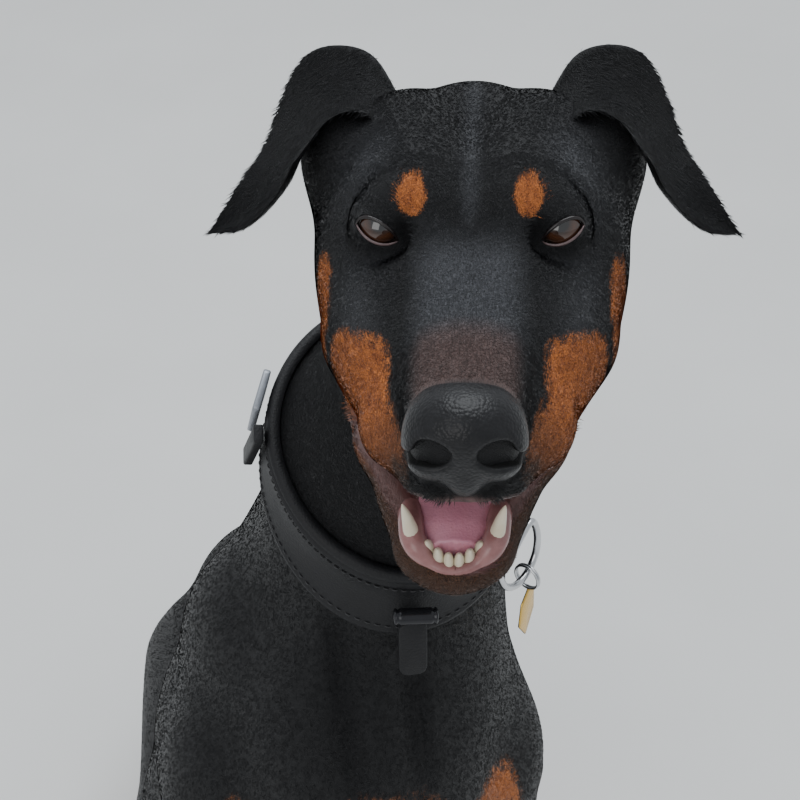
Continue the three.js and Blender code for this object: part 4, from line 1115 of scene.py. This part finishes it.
gum_kit = Kit("gums", Roughness=0.25)
gum_kit.feed(Base_Color=gum_kit.mix(gum_kit.noise(gum_kit.place(), 200.0), rgb(0.19, 0.075, 0.075),
                                    rgb(0.40, 0.20, 0.19)))
gum_path = curve([
    [-17.5, 60, -90], [-17, 80, -89], [-15.5, 88, -92], [-9, 92.5, -99], [0, 94, -102],
    [9, 92.5, -99], [15.5, 88, -92], [17, 80, -89], [17.5, 60, -90]], np.linspace(0, 1, 80))
gum_radius = 2.6 + 2.4 * rise(np.abs(gum_path[:, 0]), 8, 15)
add("gums", in_head(swing(tube(gum_path, gum_radius, [0, 0, 1], 14))), gum_kit.material, "coat")

tooth_kit = Kit("teeth", Roughness=0.22)
tooth_kit.feed(Base_Color=tooth_kit.mix(tooth_kit.noise(tooth_kit.place(), 160.0), rgb(0.62, 0.52, 0.36),
                                        rgb(0.80, 0.74, 0.60)))


def tooth(base, tip, thick, bulge, power):
    """A curved cone: radius = thick (1 + bulge sin(pi t)) (1 - t^power)^0.75."""
    base, tip = np.array(base, float), np.array(tip, float)
    t = np.linspace(0, 0.995, 16)
    path = base + (tip - base) * t[:, None] + np.array([0, -1.0, 0]) * (2.2 * np.sin(np.pi * t))[:, None]
    radius = thick * (1 + bulge * np.sin(np.pi * t)) * (1 - t ** power) ** 0.75
    return tube(path, radius, [0, 1, 0], 14, squash=0.85)


teeth = []
for sideways in (-1, 1):
    teeth.append(tooth([sideways * 15.0, 88, -96], [sideways * 19.5, 92, -73], 4.3, 0.0, 1.5))
for n in range(6):
    across = (n - 2.5) / 2.5
    outer = across * across
    base = [across * 9.8, 93.5 - 3.5 * outer, -102 + 3 * outer]
    top = [across * 10.4, 96 - 3.5 * outer, -92.8 + 3.2 * outer + rng.normal() * 0.3]
    teeth.append(tooth(base, top, 2.1 + 0.5 * outer, 0.22, 3.2))
add("lower_teeth", in_head(swing(gather(*teeth))), tooth_kit.material, "tongue")

# %% [markdown]
# ## Collar
# A wide band of dark leather with a rolled upper edge and two rows of stitching, a black roller with a
# leather tab under it, a grey plate with its keeper, and a D ring that carries a split ring and a kite tag.

# %% Band
leather = Kit("collar_leather", Specular_IOR_Level=0.25)
grain = leather.node("TexVoronoi", inputs={"Vector": leather.place(), "Scale": 900.0})
scuffs = leather.noise(leather.place(), 60.0, 4.0)
leather.feed(
    Base_Color=leather.mix(scuffs, rgb(0.004, 0.004, 0.0045), rgb(0.020, 0.020, 0.022)),
    Roughness=scuffs * 0.3 + 0.36,
    Normal=leather.bump(grain * -0.5 + scuffs, 0.0006, 0.6))

BAND_STEPS = 160
BAND_PROFILE = [[-20, 0], [-20, 3.6], [-19.2, 4.7], [-17.6, 5.0], [-16.6, 4.5], [0, 4.6], [10.5, 4.5],
                [11.5, 5.2], [13.2, 5.9], [14.6, 5.0], [15.2, 4.6], [15.8, 5.2], [17.6, 6.3], [19.4, 5.6],
                [20, 4.0], [20, 0]]


def band():
    """The profile, across and out of the band, swept round the neck."""
    angle = np.linspace(0, 2 * np.pi, BAND_STEPS, endpoint=False)
    profile = np.array(BAND_PROFILE)
    rings = collar_point(angle[:, None], profile[None, :, 0], profile[None, :, 1] + COLLAR_SINK)
    quads = ring_faces(BAND_STEPS, len(profile), True)
    points = rings.reshape(-1, 3)
    faces = np.concatenate([quads[:, [0, 1, 2]], quads[:, [0, 2, 3]]])
    return outward(points, faces)


add("collar_band", band(), leather.material, "collar_leather", "collar")

thread = Kit("thread", Roughness=0.7)
thread.feed(Base_Color=thread.mix(thread.noise(thread.place(), 300.0), rgb(0.016, 0.016, 0.017),
                                  rgb(0.05, 0.05, 0.052)))
stitches = []
for row in (9.2, -15.4):
    for n in range(110):
        angles = (n + np.array([0.18, 0.34, 0.5, 0.66, 0.82])) * 2 * np.pi / 110
        lift = COLLAR_SINK + 4.55 + np.array([0.0, 0.5, 0.6, 0.5, 0.0])
        stitches.append(tube(collar_point(angles, row, lift), [0.25, 0.42, 0.45, 0.42, 0.25], [0, 0, 1], 5))
add("collar_stitches", gather(*stitches), thread.material, "collar_leather")
print("stitches:", len(stitches))


# %% Fittings
def placed(shape, frame_):
    """Moves a shape from a frame on the band to body places."""
    at, axes = frame_
    points, faces = shape
    return outward(at + points @ axes, faces)


def slab(wide, tall, thick, corner, soft=0.9):
    """A flat piece with round corners; its edge is rounded over by insets of the outline."""
    a = np.linspace(0, np.pi / 2, 7)
    quarter = np.stack([np.cos(a), np.sin(a)], -1)
    rings = []
    for inset, z in ((soft, 0.0), (soft * 0.3, soft * 0.3), (0.0, soft), (0.0, thick - soft),
                     (soft * 0.3, thick - soft * 0.3), (soft, thick)):
        r = max(corner - inset, 0.2)
        x, y = wide / 2 - inset - r, tall / 2 - inset - r
        corners = []
        for n, (cx, cy) in enumerate(((x, y), (-x, y), (-x, -y), (x, -y))):
            c, s = math.cos(n * math.pi / 2), math.sin(n * math.pi / 2)
            turned = quarter @ np.array([[c, s], [-s, c]]) * r
            corners.append(np.column_stack([turned + [cx, cy], np.full(len(a), z)]))
        rings.append(np.concatenate(corners))
    return shell(np.array(rings))


def metal(name, color, rough, metallic=1.0):
    kit = Kit(name, Metallic=metallic)
    wear = kit.noise(kit.place(), 220.0, 4.0)
    worn = rgb(*(c * 0.7 for c in color))
    kit.feed(Base_Color=kit.mix(wear, worn, rgb(*color)), Roughness=wear * 0.2 + rough)
    return kit.material


black_metal = metal("black_metal", (0.03, 0.03, 0.034), 0.10, 0.6)
silver = metal("silver", (0.72, 0.73, 0.75), 0.08)
brass = metal("brass", (0.80, 0.52, 0.14), 0.18)
grey_plate = metal("grey_plate", (0.34, 0.36, 0.40), 0.28, 0.5)

ROLLER = {"length": 24, "radius": 4.5, "degrees": 96, "across": 6}
TAB = {"wide": 15, "tall": 34, "thick": 4.5, "across": -16, "lift": 8.5, "tip": -6}
PLATE = {"wide": 24, "tall": 44, "thick": 4, "degrees": 204}
KEEPER = {"wide": 10, "tall": 48, "thick": 5, "degrees": 186}
D_RING = {"wide": 34, "tall": 30, "wire": 2.0, "degrees": 53, "across": -11, "tip": -18}
SPLIT_RING = {"radius": 7.5, "wire": 0.7, "hang": 3.8, "turn": 128}
TAG = {"wide": 19, "tall": 36, "thick": 1.6}
FIT_GAP = 0.3


def roller():
    """A bar along x with a bead at each end."""
    x = np.linspace(-1, 1, 40)
    half = ROLLER["length"] / 2
    end = np.sqrt(np.clip(1 - np.clip((np.abs(x) - 0.9) / 0.1, 0, 1) ** 2, 0.02, 1))
    waist = 1 - 0.16 * (np.abs(x) > 0.72) * (np.abs(x) < 0.80)
    path = np.stack([x * half, np.zeros(40), np.zeros(40)], -1)
    return tube(path, ROLLER["radius"] * end * waist, [0, 0, 1], 28)


roller_frame = on_collar(ROLLER["degrees"], ROLLER["across"], ROLLER["radius"] + FIT_GAP + 6.3)
add("roller_fine", placed(roller(), roller_frame), black_metal, "black_metal", "collar_roller")
tab_frame = on_collar(ROLLER["degrees"], TAB["across"], FIT_GAP + TAB["lift"], TAB["tip"])
add("tab_fine", placed(slab(TAB["wide"], TAB["tall"], TAB["thick"], 5), tab_frame), leather.material,
    "collar_leather", "collar_tab")
plate_frame = on_collar(PLATE["degrees"], 0, FIT_GAP + 2.5)
add("plate_fine", placed(slab(PLATE["wide"], PLATE["tall"], PLATE["thick"], 3), plate_frame), grey_plate,
    "grey_plate", "collar_plate")
keeper_frame = on_collar(KEEPER["degrees"], 0, FIT_GAP + 2)
add("keeper_fine", placed(slab(KEEPER["wide"], KEEPER["tall"], KEEPER["thick"], 1.5), keeper_frame),
    leather.material, "collar_leather", "collar_keeper")

d_outline = np.array([
    [-0.5, -0.5, 0], [0, -0.5, 0], [0.5, -0.5, 0], [0.5, 0, 0], [0.3, 0.38, 0], [0, 0.5, 0],
    [-0.3, 0.38, 0], [-0.5, 0, 0], [-0.5, -0.5, 0]]) * [D_RING["wide"], -D_RING["tall"], 1]
d_frame = on_collar(D_RING["degrees"], D_RING["across"], D_RING["wire"] + FIT_GAP + 5, D_RING["tip"])
d_path = curve(d_outline, np.linspace(0, 1, 97)[:-1])
d_wire = tube(d_path, D_RING["wire"], [0, 0, 1], 12, True)
add("d_ring_fine", placed(d_wire, d_frame), silver, "silver", "d_ring")
hang = d_frame[0] + np.array([0, -D_RING["tall"] / 2, 0]) @ d_frame[1] - [0, 0, SPLIT_RING["hang"]]


def in_hang(points, turn_degrees, drop):
    """Turns a flat upright shape about the vertical and hangs it from the D ring."""
    a = math.radians(turn_degrees)
    x, y, z = points[:, 0] * math.cos(a), points[:, 0] * math.sin(a), points[:, 1]
    depth = points[:, 2:3] * [math.sin(a), -math.cos(a), 0]
    world = np.stack([x, y, z], -1) + depth
    return world * MIRROR + hang - [0, 0, drop]


loops = []
for layer in (-0.75, 0.75):
    a = np.linspace(0, 2 * np.pi, 48, endpoint=False)
    circle = np.stack([np.cos(a), np.sin(a), np.zeros(48)], -1) * SPLIT_RING["radius"] + [0, 0, layer]
    points, faces = tube(circle, SPLIT_RING["wire"], [0, 0, 1], 8, True)
    loops.append(outward(in_hang(points, SPLIT_RING["turn"], 0), faces))
add("split_ring_fine", gather(*loops), silver, "silver", "split_ring")

kite = np.array([[0, 0.5], [0.42, 0.34], [0.5, -0.1], [0, -0.5], [-0.5, -0.1], [-0.42, 0.34]])
kite = kite * [TAG["wide"], TAG["tall"]]
steps = np.linspace(0, 1, 6)[:-1, None]
edge = np.concatenate([kite[n] + (kite[(n + 1) % 6] - kite[n]) * steps for n in range(6)])
rings = []
for shrink, z in ((0.9, 0.0), (1.0, 0.35), (1.0, TAG["thick"] - 0.35), (0.9, TAG["thick"])):
    rings.append(np.column_stack([edge * shrink, np.full(len(edge), z)]))
points, faces = shell(np.array(rings))
tag_drop = SPLIT_RING["radius"] + TAG["tall"] / 2 + 2
add("tag_fine", outward(in_hang(points, 50, tag_drop), faces), brass, "brass", "tag")

# %% [markdown]
# ## Short fur
# The coat lies close, so single blades of hair only a few millimetres long follow the lie and lift their tips
# a little from the skin. Each blade takes its colour from the marking at its root. The UV map has one small
# patch for each blade at its root's place on a turn round the body part it grows on.

# %% Blades
def on_skin(points, quads, keep, count):
    """Random places on the kept faces, spread by area, with the surface's normals."""
    corners = points[quads]
    normal = np.cross(corners[:, 2] - corners[:, 0], corners[:, 3] - corners[:, 1])
    area = np.linalg.norm(normal, axis=1) * keep(corners.mean(1))
    pick = rng.choice(len(quads), count, p=area / area.sum())
    smooth = np.zeros_like(points)
    for n in range(4):
        np.add.at(smooth, quads[:, n], normal)
    smooth = unit(smooth)
    x, y = rng.random((2, count, 1))
    weights = np.stack([(1 - x) * (1 - y), x * (1 - y), x * y, (1 - x) * y], 1)
    return (corners[pick] * weights).sum(1), unit((smooth[quads[pick]] * weights).sum(1))


def flow(p):
    """The way the hairs point: back from the nose on the head, down and back on the body, down the legs."""
    q = to_head(p)
    level = np.ones(q.shape[:-1])
    fan = unit(np.stack([np.sign(q[..., 0]) * 0.25, -level, level * -0.3], -1))
    on_head = rise(above_collar(p), 60, 130)[..., None]
    head_way = from_head(fan) - from_head(np.zeros(3))
    slack = rise(-p[..., 1], -160, 60)[..., None]
    body_way = np.array([0.0, -0.15, -1.0]) * (1 - slack) + np.array([0.0, -0.75, -0.66]) * slack
    return head_way * on_head + body_way * (1 - on_head)


def furred(p):
    """1 where fur grows, 0 at the eyes, nose, mouth, collar and floor."""
    q = to_head(p)
    at_lids = opening(q)
    wear = rise(at_lids, 0.6, 2.2) * rise(nose_mass(q), 0.6, 1.8) * rise(mouth_gap(q), 1.5, 4.0)
    under_band = (np.abs(above_collar(p)) < 19) * (p[..., 2] > 560)
    return wear * (p[..., 2] > 2.5) * ~under_band.astype(bool)


def blades(name, points, quads, keep, count, size, axis_from, axis_to, way_of=flow):
    """Thin three-triangle blades shaded like the skin; size is length, width and lift in millimetres."""
    count = count
    root, normal = on_skin(points, quads, lambda p: keep(p) * furred(p), count)
    way = way_of(root) + rng.normal(0, 0.12, root.shape)
    way = unit(way - normal * (way * normal).sum(-1, keepdims=True))
    across = np.cross(normal, way)
    near = np.clip(opening(to_head(root)) / 12, 0.35, 1)[:, None]
    long_ = size[0] * rng.uniform(0.6, 1.25, (count, 1)) * near
    wide = size[1] * rng.uniform(0.7, 1.2, (count, 1))
    lift = size[2] * rng.uniform(0.5, 1.3, (count, 1)) * near
    low = root - normal * 0.25
    middle = root + way * long_ * 0.5 + normal * lift * 0.8
    tip = root + way * long_ + normal * lift
    rows = np.stack([low - across * wide / 2, low + across * wide / 2, middle - across * wide * 0.4,
                     middle + across * wide * 0.4, tip], 1)
    rows[..., 2] = np.maximum(rows[..., 2], 0.3)
    base = np.arange(count)[:, None, None] * 5
    faces = (base + np.array([[0, 1, 3], [0, 3, 2], [2, 3, 4]])).reshape(-1, 3)
    a, b, c = rows[:, 0], rows[:, 1], rows[:, 3]
    if (np.cross(b - a, c - a) * normal).sum() < 0:
        faces = faces[:, ::-1]
    piece = make_object(name, rows.reshape(-1, 3), faces[:, ::-1], coat)
    dress(piece, rows.reshape(-1, 3))
    for label, values in markings(root).items():
        piece.data.attributes[label].data.foreach_set("value", np.repeat(values, 5).astype(np.float32))
    unwrap(piece, root, np.array(axis_from, float), np.array(axis_to, float))
    shade = normal + way * rng.normal(0.10, 0.16, (count, 1))
    shade = unit(shade + across * rng.normal(0, 0.15, (count, 1)))
    world = to_world(shade) - to_world(np.zeros(3))
    piece.data.normals_split_custom_set_from_vertices(np.repeat(unit(world), 5, axis=0).tolist())
    return piece


def unwrap(piece, root, start, end):
    """The bake map: turn round the part's axis against the way along it, 0.003 across for each blade."""
    axis = unit(end - start)
    first = unit(np.cross(axis, [0.0, 1.0, 0.02]))
    second = np.cross(axis, first)
    off = root - start
    turn_ = np.arctan2(off @ second, off @ first) / (2 * np.pi) + 0.5
    along = off @ axis
    along = (along - along.min()) / (np.ptp(along) + 1e-6)
    spot = np.stack([turn_, along], -1) * 0.994 + 0.0015
    corner = np.array([[0, 0], [1, 0], [0, 0.5], [1, 0.5], [0.5, 1]]) * 0.003
    uv = (spot[:, None] + corner - 0.0015).reshape(-1, 2)
    layer = piece.data.uv_layers.new(name="OFBake")
    loops = np.empty(len(piece.data.loops), np.int32)
    piece.data.loops.foreach_get("vertex_index", loops)
    layer.uv.foreach_set("vector", uv[loops].astype(np.float32).ravel())


def on_face(p):
    return to_head(p)[..., 1] > -25


def on_leg(p):
    return (p[..., 2] < 250) & ((p[..., 1] > 95) | (np.abs(p[..., 0]) > 92)) | (p[..., 1] < -290)


BODY_BLADES, EAR_BLADES = 54000, 20000
head_sets = [
    ("face_coat_left", lambda p: on_face(p) & (to_head(p)[..., 0] > 0), (5.0, 0.40, 0.35)),
    ("face_coat_right", lambda p: on_face(p) & (to_head(p)[..., 0] <= 0), (5.0, 0.40, 0.35)),
    ("nape_coat", lambda p: ~on_face(p) & (p[..., 0] > 20), (7.0, 0.55, 0.6)),
    ("throat_coat", lambda p: ~on_face(p) & (p[..., 0] <= 20), (7.0, 0.55, 0.6)),
]
for name, keep, size in head_sets:
    blades(name, head_points, head_quads, lambda p, keep=keep: keep(p) & (above_collar(p) > 5),
           BODY_BLADES, size, NECK_AT_COLLAR, HEAD_AT)
body_sets = [
    ("chest_coat", lambda p: (p[..., 1] > 120) & ~on_leg(p), (10.0, 0.62, 0.9)),
    ("flank_coat_left", lambda p: (p[..., 1] <= 120) & (p[..., 0] > 0) & ~on_leg(p), (12.0, 0.95, 1.1)),
    ("flank_coat_right", lambda p: (p[..., 1] <= 120) & (p[..., 0] <= 0) & ~on_leg(p), (12.0, 0.95, 1.1)),
    ("leg_coat", on_leg, (6.5, 0.65, 0.7)),
]
for name, keep, size in body_sets:
    blades(name, body_points, body_quads, lambda p, keep=keep: keep(p) & (above_collar(p) < -5),
           BODY_BLADES, size, [0.0, 60, 0], [0.0, 60, 700])

# %% Fur of the ears
for sideways, side_name in ((1, "left"), (-1, "right")):
    points, _ = in_head(ear(sideways))
    points = points[:EAR_STEPS * EAR_SIDES]
    quads = ring_faces(EAR_STEPS, EAR_SIDES, False)
    middle = points.reshape(EAR_STEPS, EAR_SIDES, 3).mean(1).repeat(EAR_SIDES, 0)
    corners = points[quads]
    facing = np.cross(corners[:, 2] - corners[:, 0], corners[:, 3] - corners[:, 1])
    if (facing * (corners.mean(1) - middle[quads].mean(1))).sum() < 0:
        quads = quads[:, ::-1]
    to_tip = from_head(np.array([sideways * 0.74, 0.12, -0.60])) - from_head(np.zeros(3))
    root, tip = points[:EAR_SIDES].mean(0), points[-EAR_SIDES:].mean(0)
    blades(f"ear_coat_{side_name}", points, quads, lambda p: np.ones(len(p)), EAR_BLADES,
           (4.5, 0.42, 0.35), root, tip, lambda p: np.broadcast_to(to_tip, p.shape))

# %% [markdown]
# ## Claws
# Each toe ends in a short dark claw that bends down and stops just above the floor.

# %% Claws
claw_kit = Kit("claws", Roughness=0.34)
claw_kit.feed(Base_Color=claw_kit.mix(claw_kit.noise(claw_kit.place(), 240.0), rgb(0.006, 0.005, 0.005),
                                      rgb(0.030, 0.024, 0.022)))
claws = []
for sideways in (-1, 1):
    for side, reaches in ((74, (208, 222, 222, 208)), (124, (72, 86, 86, 72))):
        for toe, reach in enumerate(reaches):
            at = np.array([sideways * side + (toe - 1.5) * 16, reach + 12.0, 15.0])
            claws.append(tooth(at, at + [0, 14.0, -9.5], 3.4, 0.0, 1.6))
add("claws", gather(*claws), claw_kit.material, "nose_skin")

# %% Size and finish
new_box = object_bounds()
[[list(map(float, corner)) for corner in box] for box in (CAD_BOX, new_box)]
